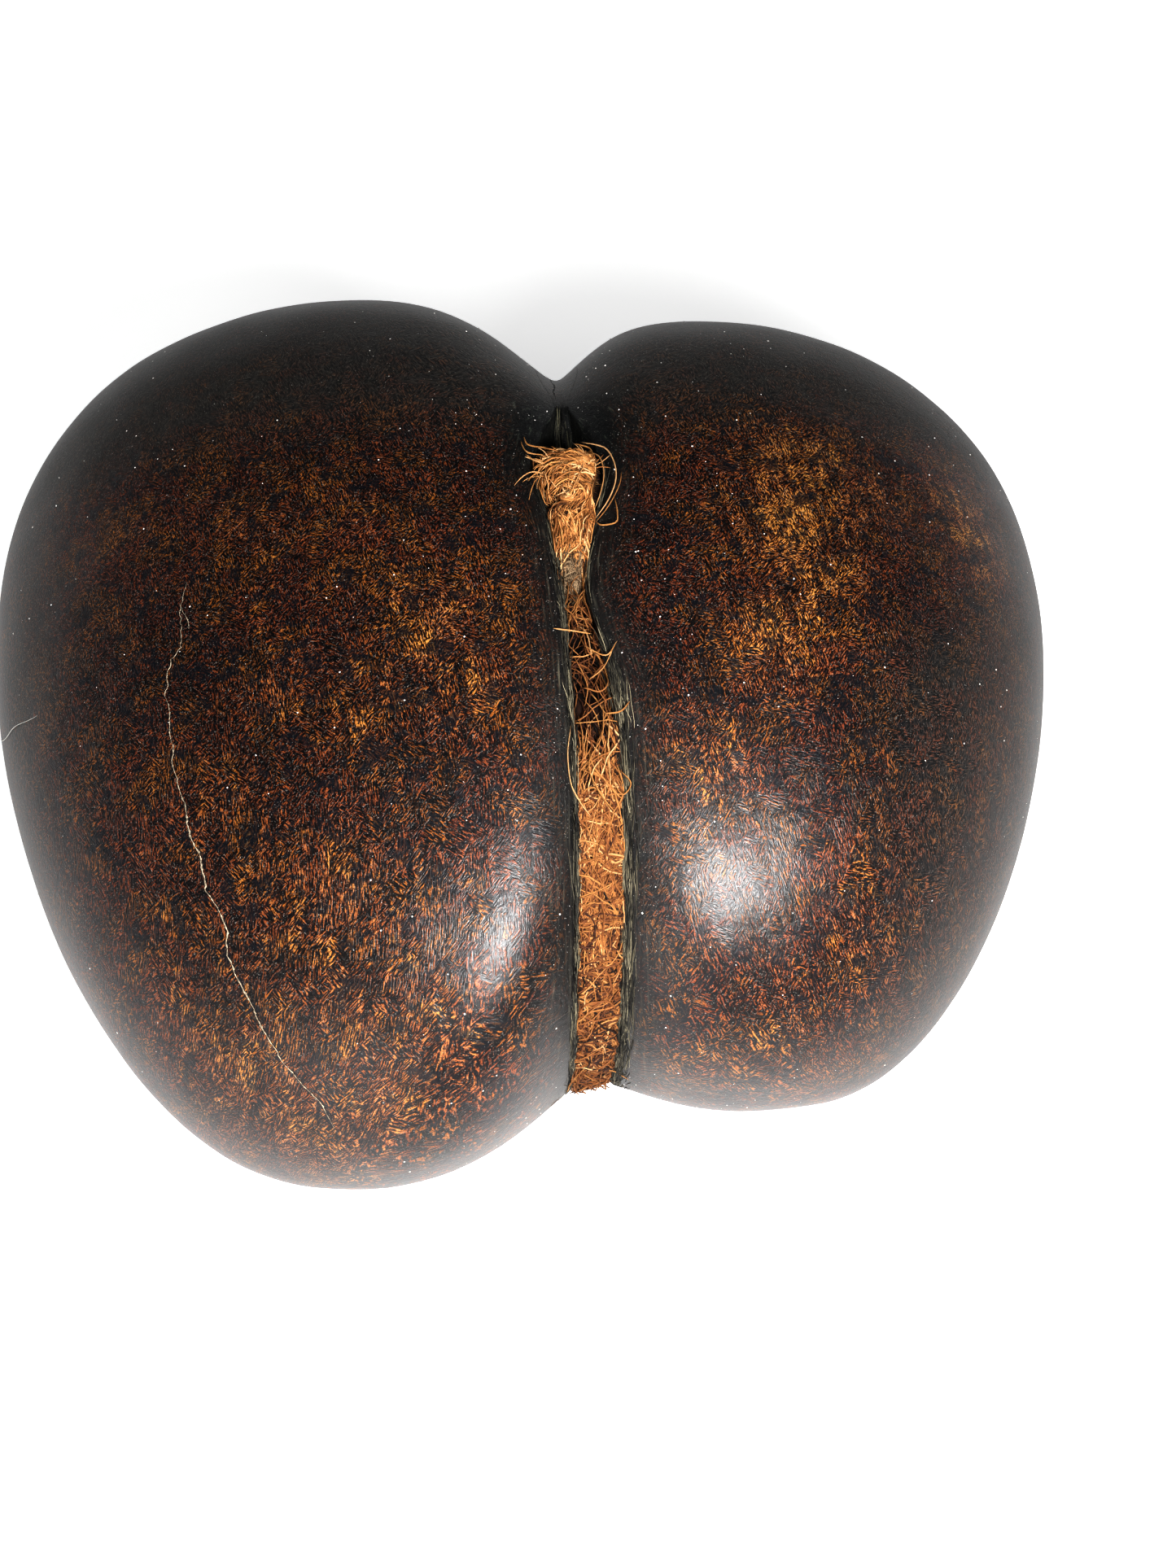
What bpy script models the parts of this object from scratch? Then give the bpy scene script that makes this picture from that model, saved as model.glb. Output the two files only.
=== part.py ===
"""Coco de mer nut: the two-lobed shell of one palm seed, and the husk fibre left in its groove.

The nut lies on its belly. X runs across the two lobes, -Y is the lobed end and +Z is up.
Sizes below are in millimetres, and angles round the X axis run from the lobed end (0)
over the back (90) to the base end (180) and under the belly (270).

Run with: blender --background --python part.py
"""
import math
import random

import bmesh
import bpy
import numpy as np

OBJECT_NAME = "coco_de_mer_nut"
MM = 0.001
SEED = 7

# Each lobe: reach is how far its cheek stands out from the groove plane. front, back, up and
# down are the half sizes of its crest's outline. The crest lies ridge_* from the groove plane
# on each of those sides, and lean_back shifts the cheek towards the base end.
LEFT = dict(side=-1, reach=161.0, front=143.0, back=124.5, up=78.5, down=84.0,
            ridge_front=74.5, ridge_up=26.5, ridge_back=54.0, lean_back=29.0, fullness=1.98)
RIGHT = dict(side=1, reach=138.5, front=125.5, back=112.5, up=78.0, down=84.0,
             ridge_front=62.0, ridge_up=30.0, ridge_back=34.5, lean_back=23.0, fullness=1.93)

# The crest swings away from the groove only near the lobed end, round this angle.
RIDGE_FRONT_ANGLE = -14.0
RIDGE_FRONT_FOCUS = 7.0

# The valley between the lobes: its outline in the groove plane, how steeply it opens, how far
# it lies towards the smaller lobe, and how far it wanders sideways on the back.
VALLEY = dict(front=111.0, back=92.0, up=75.0, down=77.0)
VALLEY_STEEPNESS = 2.4
VALLEY_SOFTNESS = 0.06
FRONT_SQUARENESS = 2.25
BACK_SQUARENESS = 2.15
GROOVE_SHIFT = 1.3
SWAY = 3.6
SWAY_ANGLE = 53.0

# The open sinus in the valley, where the husk was cut away and its fibre stayed.
SLOT_START, SLOT_END = -56.0, 127.0
SLOT_START_RAMP, SLOT_END_RAMP = 20.0, 13.0
SLOT_DEPTH = 24.0
SLOT_HALF_WIDTH = 6.0
PIT_ANGLE, PIT_SPREAD, PIT_EXTRA = 105.0, 9.0, 3.0
PINCH_ANGLE, PINCH_SPREAD, PINCH_LESS, PINCH_SHIFT = 77.0, 14.0, 2.7, 2.8
TIP_ANGLE, TIP_SPREAD, TIP_LESS = 127.0, 9.0, 0.7
RIM_ROUND = 1.5

# The belly is worn flat in one spot under each lobe, where the nut rests.
REST_FLAT = 1.6

# Mesh rows from the groove plane out to a cheek's pole, and steps round the nut.
SLOT_ROWS = ((0.0, 1.0), (0.74, 1.0), (0.95, 0.9), (1.0, 0.12))
FACE_ROWS = 6
CHEEK_ROWS = 12
AROUND = 72

# The fibre: a matted core low in the sinus, and coarse strands that stand out of it.
FIBRE_START, FIBRE_END = -50.0, 116.0
FIBRE_CLEARANCE = 0.4
CORE_AROUND, CORE_ALONG = 8, 44
CORE_BLUNTNESS = 10
CORE_WIDTH, CORE_SINK, CORE_LEAST = 0.95, 0.88, 3.0
DENSE_TOP, SPARSE_TOP, TUFT_TOP = -1.6, -9.0, 1.2
SPARSE_FROM, SPARSE_TO, STEP_SOFTNESS = 58.0, 82.0, 5.0
CORE_FLATNESS = 0.65
STRAND_RADIUS = 0.7
STRAND_POINTS = 5
STRAND_ROOT = 1.0
STRAND_BEND = 1.1
STRANDS = dict(count=50, start=-46.0, end=112.0, spread=4.0, lift=(0.9, 1.8), length=(11.0, 18.0))
TUFT = dict(count=16, start=84.0, end=111.0, spread=7.0, lift=(1.2, 2.6), length=(12.0, 20.0))
LOOPS = dict(count=5, start=99.0, end=109.0, radius=(4.0, 8.0), lift=(2.5, 5.0), to_the_right=0.75)
LOOP_POINTS = 8


def smooth_step(value):
    """0 below 0, 1 above 1, with a soft rise between."""
    value = np.clip(value, 0.0, 1.0)
    return value * value * (3.0 - 2.0 * value)


def bump(degrees, middle, spread):
    """A bell-shaped rise round one angle."""
    return np.exp(-((degrees - middle) / spread) ** 2)


def outline(v, form):
    """Distance from the X axis of a rounded outline with its own half size on each side."""
    across, height = np.cos(v), np.sin(v)
    length = np.where(across > 0, form["front"], form["back"])
    rise = np.where(height > 0, form["up"], form["down"])
    power = np.where(across > 0, FRONT_SQUARENESS, BACK_SQUARENESS)
    return (np.abs(across / length) ** power + np.abs(height / rise) ** power) ** (-1.0 / power)


def ridge_distance(lobe, v):
    """How far the lobe's crest lies from the groove plane at one angle."""
    back = np.clip(-np.cos(v), 0.0, None) ** 2
    under = np.clip(-np.sin(v), 0.0, None) ** 2
    base = lobe["ridge_up"] + (lobe["ridge_back"] - lobe["ridge_up"]) * np.maximum(back, under)
    front = np.clip(np.cos(v - math.radians(RIDGE_FRONT_ANGLE)), 0.0, None) ** RIDGE_FRONT_FOCUS
    return base + (lobe["ridge_front"] - base) * front


def inner_face(v, x):
    """Distance from the X axis of the lobes' faces, between the valley and the crests."""
    valley = outline(v, VALLEY)
    crest = np.where(x < 0, outline(v, LEFT), outline(v, RIGHT))
    share = np.abs(x) / np.where(x < 0, ridge_distance(LEFT, v), ridge_distance(RIGHT, v))
    drop = np.clip(1.0 - np.sqrt(share ** 2 + VALLEY_SOFTNESS ** 2), 0.0, None)
    return crest - (crest - valley) * (drop / (1.0 - VALLEY_SOFTNESS)) ** VALLEY_STEEPNESS


def slot_depth(v):
    """Depth of the sinus below the valley, which runs out to nothing at both ends."""
    degrees = (np.degrees(v) + 90.0) % 360.0 - 90.0
    start = smooth_step((degrees - SLOT_START) / SLOT_START_RAMP)
    end = smooth_step((SLOT_END - degrees) / SLOT_END_RAMP)
    return SLOT_DEPTH * start * end


def slot_half_width(v):
    """Half the width of the sinus: pinched on the back, wide in the pit, pointed behind it."""
    degrees = (np.degrees(v) + 90.0) % 360.0 - 90.0
    pit = PIT_EXTRA * bump(degrees, PIT_ANGLE, PIT_SPREAD)
    pinch = PINCH_LESS * bump(degrees, PINCH_ANGLE, PINCH_SPREAD)
    tip = TIP_LESS * bump(degrees, TIP_ANGLE, TIP_SPREAD)
    return (SLOT_HALF_WIDTH + pit - pinch) * (1.0 - tip)


def slot_middle(v):
    """Where the sinus's middle lies: the pinch closes in towards the larger lobe."""
    degrees = (np.degrees(v) + 90.0) % 360.0 - 90.0
    return -PINCH_SHIFT * bump(degrees, PINCH_ANGLE, PINCH_SPREAD)


def place(v, x, radius):
    """World position of a point, from its angle, signed distance across and radius."""
    reach = np.where(x < 0, LEFT["reach"], RIGHT["reach"])
    lean = np.where(x < 0, LEFT["lean_back"], RIGHT["lean_back"])
    share = (x / reach) ** 2
    sway = GROOVE_SHIFT + SWAY * np.clip(np.cos(v - math.radians(SWAY_ANGLE)), 0.0, None) ** 4
    point = (x + sway * (1.0 - share), lean * share - np.cos(v) * radius, np.sin(v) * radius)
    return np.stack(np.broadcast_arrays(*point), axis=-1) * MM


def shell_row(lobe, v, row):
    """Distance across and radius of one ring of the shell, counted from the groove."""
    half_width = slot_half_width(v)
    crest_x = ridge_distance(lobe, v)
    if row < len(SLOT_ROWS):
        width_share, depth_share = SLOT_ROWS[row]
        x = slot_middle(v) + lobe["side"] * half_width * width_share
        return x, inner_face(v, x) - slot_depth(v) * depth_share
    row -= len(SLOT_ROWS)
    rim_x = lobe["side"] * slot_middle(v) + half_width + RIM_ROUND
    if row < FACE_ROWS:
        share = (row / FACE_ROWS) ** 1.2
        x = lobe["side"] * (rim_x + (crest_x - rim_x) * share)
        return x, inner_face(v, x)
    turn = (row - FACE_ROWS) / CHEEK_ROWS * math.pi / 2
    power = 2.0 / lobe["fullness"]
    x = crest_x + (lobe["reach"] - crest_x) * math.sin(turn) ** power
    return lobe["side"] * x, outline(v, lobe) * max(math.cos(turn), 0.0) ** power


def material(name, colour, roughness):
    """A plain material for one sub-part."""
    made = bpy.data.materials.new(name)
    made.use_nodes = True
    shader = made.node_tree.nodes["Principled BSDF"]
    shader.inputs["Base Color"].default_value = (*colour, 1.0)
    shader.inputs["Roughness"].default_value = roughness
    shader.inputs["Metallic"].default_value = 0.0
    made.diffuse_color = (*colour, 1.0)
    return made


def new_object(name, mesh, collection):
    """An object that holds a mesh, in a collection."""
    made = bpy.data.objects.new(name, mesh)
    collection.objects.link(made)
    return made


def mesh_from(bm, name):
    """Turns a bmesh into a mesh with its faces pointing out."""
    bm.normal_update()
    bmesh.ops.recalc_face_normals(bm, faces=bm.faces)
    mesh = bpy.data.meshes.new(name)
    bm.to_mesh(mesh)
    bm.free()
    return mesh


def make_shell(collection):
    """The nut: a ball with its poles on the two cheeks, moved onto the two-lobed form."""
    rows = len(SLOT_ROWS) + FACE_ROWS + CHEEK_ROWS
    bm = bmesh.new()
    bmesh.ops.create_uvsphere(bm, u_segments=AROUND, v_segments=2 * rows, radius=1.0)
    bm.verts.ensure_lookup_table()
    ball = np.array([vert.co for vert in bm.verts])
    row_of = np.rint(np.arcsin(np.clip(ball[:, 2], -1.0, 1.0)) / (math.pi / 2) * rows).astype(int)
    angle = np.arctan2(ball[:, 1], ball[:, 0])
    points = np.empty_like(ball)
    for row in range(-rows, rows + 1):
        lobe = LEFT if row < 0 else RIGHT
        chosen = row_of == row
        x, radius = shell_row(lobe, angle[chosen], abs(row))
        points[chosen] = place(angle[chosen], x, radius)
    lowest = points[:, 2].min()
    points[:, 2] = np.maximum(points[:, 2], lowest + REST_FLAT * MM)
    for vert, point in zip(bm.verts, points):
        vert.co = point
    mesh = mesh_from(bm, "nut_shell")
    mesh.shade_smooth()
    mesh.set_sharp_from_angle(angle=math.radians(40.0))
    mesh.materials.append(material("polished_nutshell", (0.055, 0.022, 0.012), 0.32))
    return new_object("nut_shell", mesh, collection)


def core_top(degrees):
    """Height of the matted fibre against the slot's rim: sparse where the slot is pinched."""
    sparse = smooth_step((degrees - SPARSE_FROM) / STEP_SOFTNESS)
    tuft = smooth_step((degrees - SPARSE_TO) / STEP_SOFTNESS)
    return DENSE_TOP + (SPARSE_TOP - DENSE_TOP) * sparse + (TUFT_TOP - SPARSE_TOP) * tuft


def in_groove(degrees, x, height):
    """World position in the sinus: x from its middle, and height above its rims or the face."""
    v = math.radians(degrees)
    half, middle = float(slot_half_width(v)), float(slot_middle(v))
    reach = max(abs(x), half)
    blend = min(max((x / half + 1.0) / 2.0, 0.0), 1.0)
    rims = inner_face(v, np.array([middle - reach, middle + reach]))
    return place(v, middle + x, rims[0] * (1.0 - blend) + rims[1] * blend + height)


def make_core(name, collection):
    """The matted core: a long ball laid along the sinus, squared off to its walls."""
    bm = bmesh.new()
    bmesh.ops.create_uvsphere(bm, u_segments=CORE_AROUND, v_segments=CORE_ALONG, radius=1.0)
    for vert in bm.verts:
        lift = max(-1.0, min(1.0, vert.co.z))
        share = math.asin(lift) / math.pi + 0.5
        turn = math.atan2(vert.co.y, vert.co.x) + math.pi / CORE_AROUND
        degrees = FIBRE_START + (FIBRE_END - FIBRE_START) * share
        v = math.radians(degrees)
        closing = (1.0 - abs(2.0 * share - 1.0) ** CORE_BLUNTNESS) ** 0.5
        half = (float(slot_half_width(v)) * CORE_WIDTH - FIBRE_CLEARANCE) * closing
        bottom = FIBRE_CLEARANCE - float(slot_depth(v)) * CORE_SINK
        top = max(float(core_top(degrees)), bottom + CORE_LEAST)
        middle, rise = (top + bottom) / 2, (top - bottom) / 2 * closing
        x = half * math.copysign(abs(math.cos(turn)) ** CORE_FLATNESS, math.cos(turn))
        height = middle + rise * math.copysign(abs(math.sin(turn)) ** CORE_FLATNESS, math.sin(turn))
        vert.co = in_groove(degrees, x, height)
    return new_object(name, mesh_from(bm, name), collection)


def make_strand(name, points, collection):
    """One coarse strand: a thin tube along its points, as a closed mesh."""
    curve = bpy.data.curves.new(name, "CURVE")
    curve.dimensions = "3D"
    curve.bevel_depth = STRAND_RADIUS * MM
    curve.bevel_resolution = 0
    curve.use_fill_caps = True
    spline = curve.splines.new("POLY")
    spline.points.add(len(points) - 1)
    for target, point in zip(spline.points, points):
        target.co = (*point, 1.0)
    guide = new_object(name + "_route", curve, collection)
    evaluated = guide.evaluated_get(bpy.context.evaluated_depsgraph_get())
    mesh = bpy.data.meshes.new_from_object(evaluated)
    bm = bmesh.new()
    bm.from_mesh(mesh)
    bmesh.ops.remove_doubles(bm, verts=bm.verts, dist=0.00001)
    bpy.data.meshes.remove(mesh)
    strand = new_object(name, mesh_from(bm, name), collection)
    strand.matrix_world = guide.matrix_world
    bpy.data.objects.remove(guide)
    bpy.data.curves.remove(curve)
    return strand


def lying_strand(rng, degrees, x, lift, length):
    """Points of a strand that wanders over the core, both of its ends sunk in."""
    heading = rng.uniform(0.0, 2.0 * math.pi)
    bend = rng.uniform(-STRAND_BEND, STRAND_BEND)
    step = length / (STRAND_POINTS - 1)
    points = []
    for index in range(STRAND_POINTS):
        arch = math.sin(math.pi * index / (STRAND_POINTS - 1))
        limit = float(slot_half_width(math.radians(degrees))) - FIBRE_CLEARANCE - 2 * STRAND_RADIUS
        x = min(max(x, -limit), limit)
        height = float(core_top(degrees)) - STRAND_ROOT + (STRAND_ROOT + lift) * arch
        points.append(in_groove(degrees, x, height))
        degrees += math.degrees(step * math.cos(heading) / VALLEY["up"])
        degrees = min(max(degrees, FIBRE_START + 3.0), FIBRE_END - 2.0)
        x += step * math.sin(heading)
        heading += bend
    return points


def loop_strand(rng):
    """Points of a loose loop that springs out of the tuft and comes back to it."""
    degrees = rng.uniform(LOOPS["start"], LOOPS["end"])
    x = rng.uniform(0.0, 3.0)
    radius = rng.uniform(*LOOPS["radius"])
    lift = rng.uniform(*LOOPS["lift"])
    start = rng.uniform(-0.4, 0.4)
    side = 1.0 if rng.random() < LOOPS["to_the_right"] else -1.0
    points = []
    for index in range(LOOP_POINTS):
        share = index / (LOOP_POINTS - 1)
        turn = math.pi * (share - 0.5) + start
        across = x + side * radius * math.cos(turn)
        along = degrees + math.degrees(radius * math.sin(turn) / VALLEY["up"])
        height = TUFT_TOP - STRAND_ROOT + (STRAND_ROOT + lift) * math.sin(math.pi * share) ** 0.7
        points.append(in_groove(along, across, height))
    return points


def keep_largest_body(mesh):
    """Drops loose scraps and the walls of sealed hollows, and leaves the one main body."""
    bm = bmesh.new()
    bm.from_mesh(mesh)
    unseen = set(bm.verts)
    bodies = []
    while unseen:
        body, frontier = set(), [unseen.pop()]
        while frontier:
            vert = frontier.pop()
            body.add(vert)
            neighbours = {edge.other_vert(vert) for edge in vert.link_edges} & unseen
            unseen -= neighbours
            frontier += neighbours
        bodies.append(body)
    main = max(bodies, key=len)
    loose = [vert for vert in bm.verts if vert not in main]
    bmesh.ops.delete(bm, geom=loose, context="VERTS")
    bm.to_mesh(mesh)
    bm.free()


def make_fibre(collection, strands):
    """The husk fibre: the core and its strands, joined into one body."""
    rng = random.Random(SEED)
    for kind in (STRANDS, TUFT):
        for index in range(kind["count"]):
            share = (index + rng.random()) / kind["count"]
            degrees = kind["start"] + (kind["end"] - kind["start"]) * share
            x = rng.uniform(-kind["spread"], kind["spread"])
            lift, length = rng.uniform(*kind["lift"]), rng.uniform(*kind["length"])
            make_strand("strand", lying_strand(rng, degrees, x, lift, length), strands)
    for _ in range(LOOPS["count"]):
        make_strand("loop", loop_strand(rng), strands)

    core = make_core("fibre_core", strands)
    strands.objects.unlink(core)
    collection.objects.link(core)
    union = core.modifiers.new("strands", "BOOLEAN")
    union.operation = "UNION"
    union.operand_type = "COLLECTION"
    union.collection = strands
    union.solver = "EXACT"
    evaluated = core.evaluated_get(bpy.context.evaluated_depsgraph_get())
    mesh = bpy.data.meshes.new_from_object(evaluated)
    mesh.name = "husk_fibre"
    keep_largest_body(mesh)
    bpy.data.objects.remove(core)
    for strand in list(strands.objects):
        bpy.data.objects.remove(strand)
    mesh.shade_smooth()
    mesh.set_sharp_from_angle(angle=math.radians(40.0))
    mesh.materials.clear()
    mesh.materials.append(material("coir_fibre", (0.62, 0.27, 0.11), 0.85))
    return new_object("husk_fibre", mesh, collection)


def stand_on_origin(objects):
    """Parents the pieces to an empty, so that the origin lies under the middle of the nut."""
    corners = np.array([vert.co for made in objects for vert in made.data.vertices])
    low, high = corners.min(axis=0), corners.max(axis=0)
    anchor = bpy.data.objects.new(OBJECT_NAME, None)
    objects[0].users_collection[0].objects.link(anchor)
    anchor.location = (-(low[0] + high[0]) / 2, -(low[1] + high[1]) / 2, -low[2])
    for made in objects:
        made.parent = anchor


def main():
    for old in list(bpy.data.objects):
        bpy.data.objects.remove(old, do_unlink=True)
    collection = bpy.data.collections.new(OBJECT_NAME)
    bpy.context.scene.collection.children.link(collection)
    strands = bpy.data.collections.new("strands_to_join")
    bpy.context.scene.collection.children.link(strands)
    shell = make_shell(collection)
    fibre = make_fibre(collection, strands)
    bpy.data.collections.remove(strands)
    stand_on_origin([shell, fibre])


main()
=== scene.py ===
"""Coco de mer nut: its polished two-lobed shell, the coir left in the groove and its marks of age.

Sizes are in millimetres, and nut_point() turns them to metres in the shared frame.
Angles run round the X axis: 0 at the lobed end, 90 on the back, 180 at the base end.
A distance across the nut is counted from the groove, negative on the larger lobe.
"""
import functools
import math

import bmesh
import bpy
import numpy as np
from mathutils import Matrix, Vector


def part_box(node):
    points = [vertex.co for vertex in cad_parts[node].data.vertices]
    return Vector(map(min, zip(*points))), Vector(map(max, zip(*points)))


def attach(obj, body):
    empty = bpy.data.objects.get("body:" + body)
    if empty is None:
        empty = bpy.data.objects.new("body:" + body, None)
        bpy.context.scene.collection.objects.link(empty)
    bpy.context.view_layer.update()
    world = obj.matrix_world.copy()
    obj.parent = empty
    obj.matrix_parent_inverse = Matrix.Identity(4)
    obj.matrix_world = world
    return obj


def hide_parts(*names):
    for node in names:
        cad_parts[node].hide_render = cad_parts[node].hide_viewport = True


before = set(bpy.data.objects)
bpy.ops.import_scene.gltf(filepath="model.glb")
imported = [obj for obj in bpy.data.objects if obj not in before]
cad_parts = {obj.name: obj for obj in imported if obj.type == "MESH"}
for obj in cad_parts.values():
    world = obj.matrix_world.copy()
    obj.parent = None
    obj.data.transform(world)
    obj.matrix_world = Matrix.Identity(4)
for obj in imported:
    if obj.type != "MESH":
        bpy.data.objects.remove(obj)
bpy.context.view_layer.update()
scene = bpy.context.scene

MM = 0.001
TINY = 1e-12
SEED = 11

# The two lobes and the valley between them.
LEFT = dict(side=-1, reach=161.0, front=143.0, back=124.5, up=78.5, down=84.0,
            ridge_front=74.5, ridge_up=26.5, ridge_back=54.0, lean_back=29.0, fullness=1.98)
RIGHT = dict(side=1, reach=138.5, front=125.5, back=112.5, up=78.0, down=84.0,
             ridge_front=62.0, ridge_up=30.0, ridge_back=34.5, lean_back=23.0, fullness=1.93)
RIDGE_FRONT_ANGLE, RIDGE_FRONT_FOCUS = -14.0, 7.0
VALLEY = dict(front=111.0, back=92.0, up=75.0, down=77.0)
VALLEY_STEEPNESS, VALLEY_SOFTNESS = 2.4, 0.06
FRONT_SQUARENESS, BACK_SQUARENESS = 2.25, 2.15
GROOVE_SHIFT, SWAY, SWAY_ANGLE = 1.3, 3.6, 53.0
REST_FLAT = 1.6
MEASURE_DEGREES, MEASURE_RINGS = 0.5, 60

# The open sinus: where it starts and ends, its depth and half width, its pit and its pinch.
SLOT_START, SLOT_END = -56.0, 127.0
SLOT_START_RAMP, SLOT_END_RAMP = 20.0, 13.0
SLOT_DEPTH, SLOT_HALF_WIDTH = 24.0, 6.0
PIT_ANGLE, PIT_SPREAD, PIT_EXTRA = 105.0, 9.0, 3.0
TIP_ANGLE, TIP_SPREAD, TIP_LESS = 127.0, 9.0, 0.7
PINCH_ANGLE, PINCH_SPREAD, PINCH_LESS, PINCH_SHIFT = 77.0, 14.0, 2.7, 2.8

# The camera, as seen from the nut's middle.
CAMERA_AZIMUTH, CAMERA_ELEVATION, CAMERA_ROLL = -4.97, 61.51, 1.86
CAMERA_DISTANCE = 518.4
AIM_RIGHT, AIM_UP = 7.5, -26.1
CAMERA_LENS = 41.62


def unit(vectors):
    """Vectors brought to a length of one."""
    return vectors / np.maximum(np.linalg.norm(vectors, axis=-1, keepdims=True), TINY)


def smooth_step(value):
    """0 below 0, 1 above 1, with a soft rise between."""
    value = np.clip(value, 0.0, 1.0)
    return value * value * (3.0 - 2.0 * value)


def bump(value, middle, spread):
    """A bell-shaped rise round one value."""
    return np.exp(-((value - middle) / spread) ** 2)


def outline(v, form):
    """Distance from the X axis of a rounded outline with its own half size on each side."""
    across, height = np.cos(v), np.sin(v)
    length = np.where(across > 0, form["front"], form["back"])
    rise = np.where(height > 0, form["up"], form["down"])
    power = np.where(across > 0, FRONT_SQUARENESS, BACK_SQUARENESS)
    return (np.abs(across / length) ** power + np.abs(height / rise) ** power) ** (-1.0 / power)


def ridge_distance(lobe, v):
    """How far the lobe's crest lies from the groove at one angle."""
    back = np.clip(-np.cos(v), 0.0, None) ** 2
    under = np.clip(-np.sin(v), 0.0, None) ** 2
    base = lobe["ridge_up"] + (lobe["ridge_back"] - lobe["ridge_up"]) * np.maximum(back, under)
    front = np.clip(np.cos(v - math.radians(RIDGE_FRONT_ANGLE)), 0.0, None) ** RIDGE_FRONT_FOCUS
    return base + (lobe["ridge_front"] - base) * front


def lobe_radius(lobe, v, x):
    """Distance from the X axis of the lobe's surface, x from the groove."""
    crest, valley = outline(v, lobe), outline(v, VALLEY)
    crest_x = ridge_distance(lobe, v)
    share = np.minimum(x / crest_x, 1.0)
    drop = np.clip(1.0 - np.sqrt(share ** 2 + VALLEY_SOFTNESS ** 2), 0.0, None)
    face = crest - (crest - valley) * (drop / (1.0 - VALLEY_SOFTNESS)) ** VALLEY_STEEPNESS
    out = np.clip((x - crest_x) / (lobe["reach"] - crest_x), 0.0, 1.0)
    cheek = np.sqrt(1.0 - out ** lobe["fullness"]) ** (2.0 / lobe["fullness"])
    return np.where(x < crest_x, face, crest * cheek)


def near_degrees(v):
    """The angle in degrees, from -90 under the belly round to 270."""
    return (np.degrees(v) + 90.0) % 360.0 - 90.0


def slot_depth(v):
    """Depth of the sinus below the valley, which runs out to nothing at both ends."""
    degrees = near_degrees(v)
    start = smooth_step((degrees - SLOT_START) / SLOT_START_RAMP)
    end = smooth_step((SLOT_END - degrees) / SLOT_END_RAMP)
    return SLOT_DEPTH * start * end


def slot_half_width(v):
    """Half the width of the sinus: pinched on the back, wide in the pit, pointed behind it."""
    degrees = near_degrees(v)
    pit = PIT_EXTRA * bump(degrees, PIT_ANGLE, PIT_SPREAD)
    pinch = PINCH_LESS * bump(degrees, PINCH_ANGLE, PINCH_SPREAD)
    tip = TIP_LESS * bump(degrees, TIP_ANGLE, TIP_SPREAD)
    return (SLOT_HALF_WIDTH + pit - pinch) * (1.0 - tip)


def slot_middle(v):
    """Where the sinus's middle lies: the pinch closes in towards the larger lobe."""
    return -PINCH_SHIFT * bump(near_degrees(v), PINCH_ANGLE, PINCH_SPREAD)


def form_point(v, x, radius):
    """Place in the nut's own frame, in mm, from angle, signed distance across and radius."""
    reach = np.where(x < 0, LEFT["reach"], RIGHT["reach"])
    lean = np.where(x < 0, LEFT["lean_back"], RIGHT["lean_back"])
    share = (x / reach) ** 2
    sway = GROOVE_SHIFT + SWAY * np.clip(np.cos(v - math.radians(SWAY_ANGLE)), 0.0, None) ** 4
    point = (x + sway * (1.0 - share), lean * share - np.cos(v) * radius, np.sin(v) * radius)
    return np.stack(np.broadcast_arrays(*point), axis=-1)


def frame_offset():
    """Shift in mm from the nut's own frame to the shared one, read from the shell's box."""
    low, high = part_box("nut_shell")
    v = np.radians(np.arange(0.0, 360.0, MEASURE_DEGREES))
    rings = []
    for lobe in (LEFT, RIGHT):
        for share in np.linspace(0.0, 1.0, MEASURE_RINGS):
            x = np.full_like(v, lobe["reach"] * share)
            rings.append(form_point(v, lobe["side"] * x, lobe_radius(lobe, v, x)))
    points = np.concatenate(rings)
    middle = (points.min(axis=0) + points.max(axis=0)) / 2
    shift = (np.array(low) + np.array(high)) / (2 * MM) - middle
    shift[2] = low.z / MM - (points[:, 2].min() + REST_FLAT)
    return shift


OFFSET = frame_offset()
FLOOR_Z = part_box("nut_shell")[0].z


def nut_point(v, x, radius):
    """Place in the shared frame, in metres."""
    return (form_point(v, x, radius) + OFFSET) * MM


# Slight unevenness left by hand sanding: each wave's height in mm, direction and phase.
RELIEF_WAVES = (
    (0.16, (0.075, 0.030, 0.050), 0.4), (0.12, (-0.040, 0.085, 0.030), 2.1),
    (0.06, (0.160, -0.110, 0.090), 4.0), (0.05, (0.050, 0.190, -0.150), 1.3),
    (0.03, (0.310, 0.120, 0.200), 0.9), (0.03, (-0.220, 0.270, 0.110), 5.2),
)
EVEN_RADIUS = 30.0


def relief(v, x, radius):
    """Height of the unevenness, which dies out towards the cheeks' poles."""
    point = form_point(v, x, radius)
    rise = sum(height * np.sin(point @ np.array(wave) + phase) for height, wave, phase in RELIEF_WAVES)
    return rise * np.clip(radius / EVEN_RADIUS, 0.0, 1.0)


def surface_radius(v, x):
    """Radius of the shell's surface at a signed distance across, without the sinus."""
    left = lobe_radius(LEFT, v, np.abs(x))
    right = lobe_radius(RIGHT, v, np.abs(x))
    smooth = np.where(x < 0, left, right)
    return smooth + relief(v, x, smooth)


SMALL_TURN, SMALL_STEP = 0.004, 0.3


def on_surface(degrees, x, lift=0.0):
    """Points lift mm above the shell, square to it, in metres, and their normals."""
    degrees, x = np.asarray(degrees, float), np.asarray(x, float)
    v = np.radians(degrees)
    here = nut_point(v, x, surface_radius(v, x))
    beyond = v + SMALL_TURN
    round_it = nut_point(beyond, x, surface_radius(beyond, x)) - here
    inner = x + np.where(x < 0, SMALL_STEP, -SMALL_STEP)
    across = nut_point(v, inner, surface_radius(v, inner)) - here
    normal = unit(np.cross(round_it, across))
    normal *= np.sign(((here - OFFSET * MM) * normal).sum(axis=-1, keepdims=True))
    return here + normal * (np.asarray(lift, float) * MM)[..., None], normal


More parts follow.
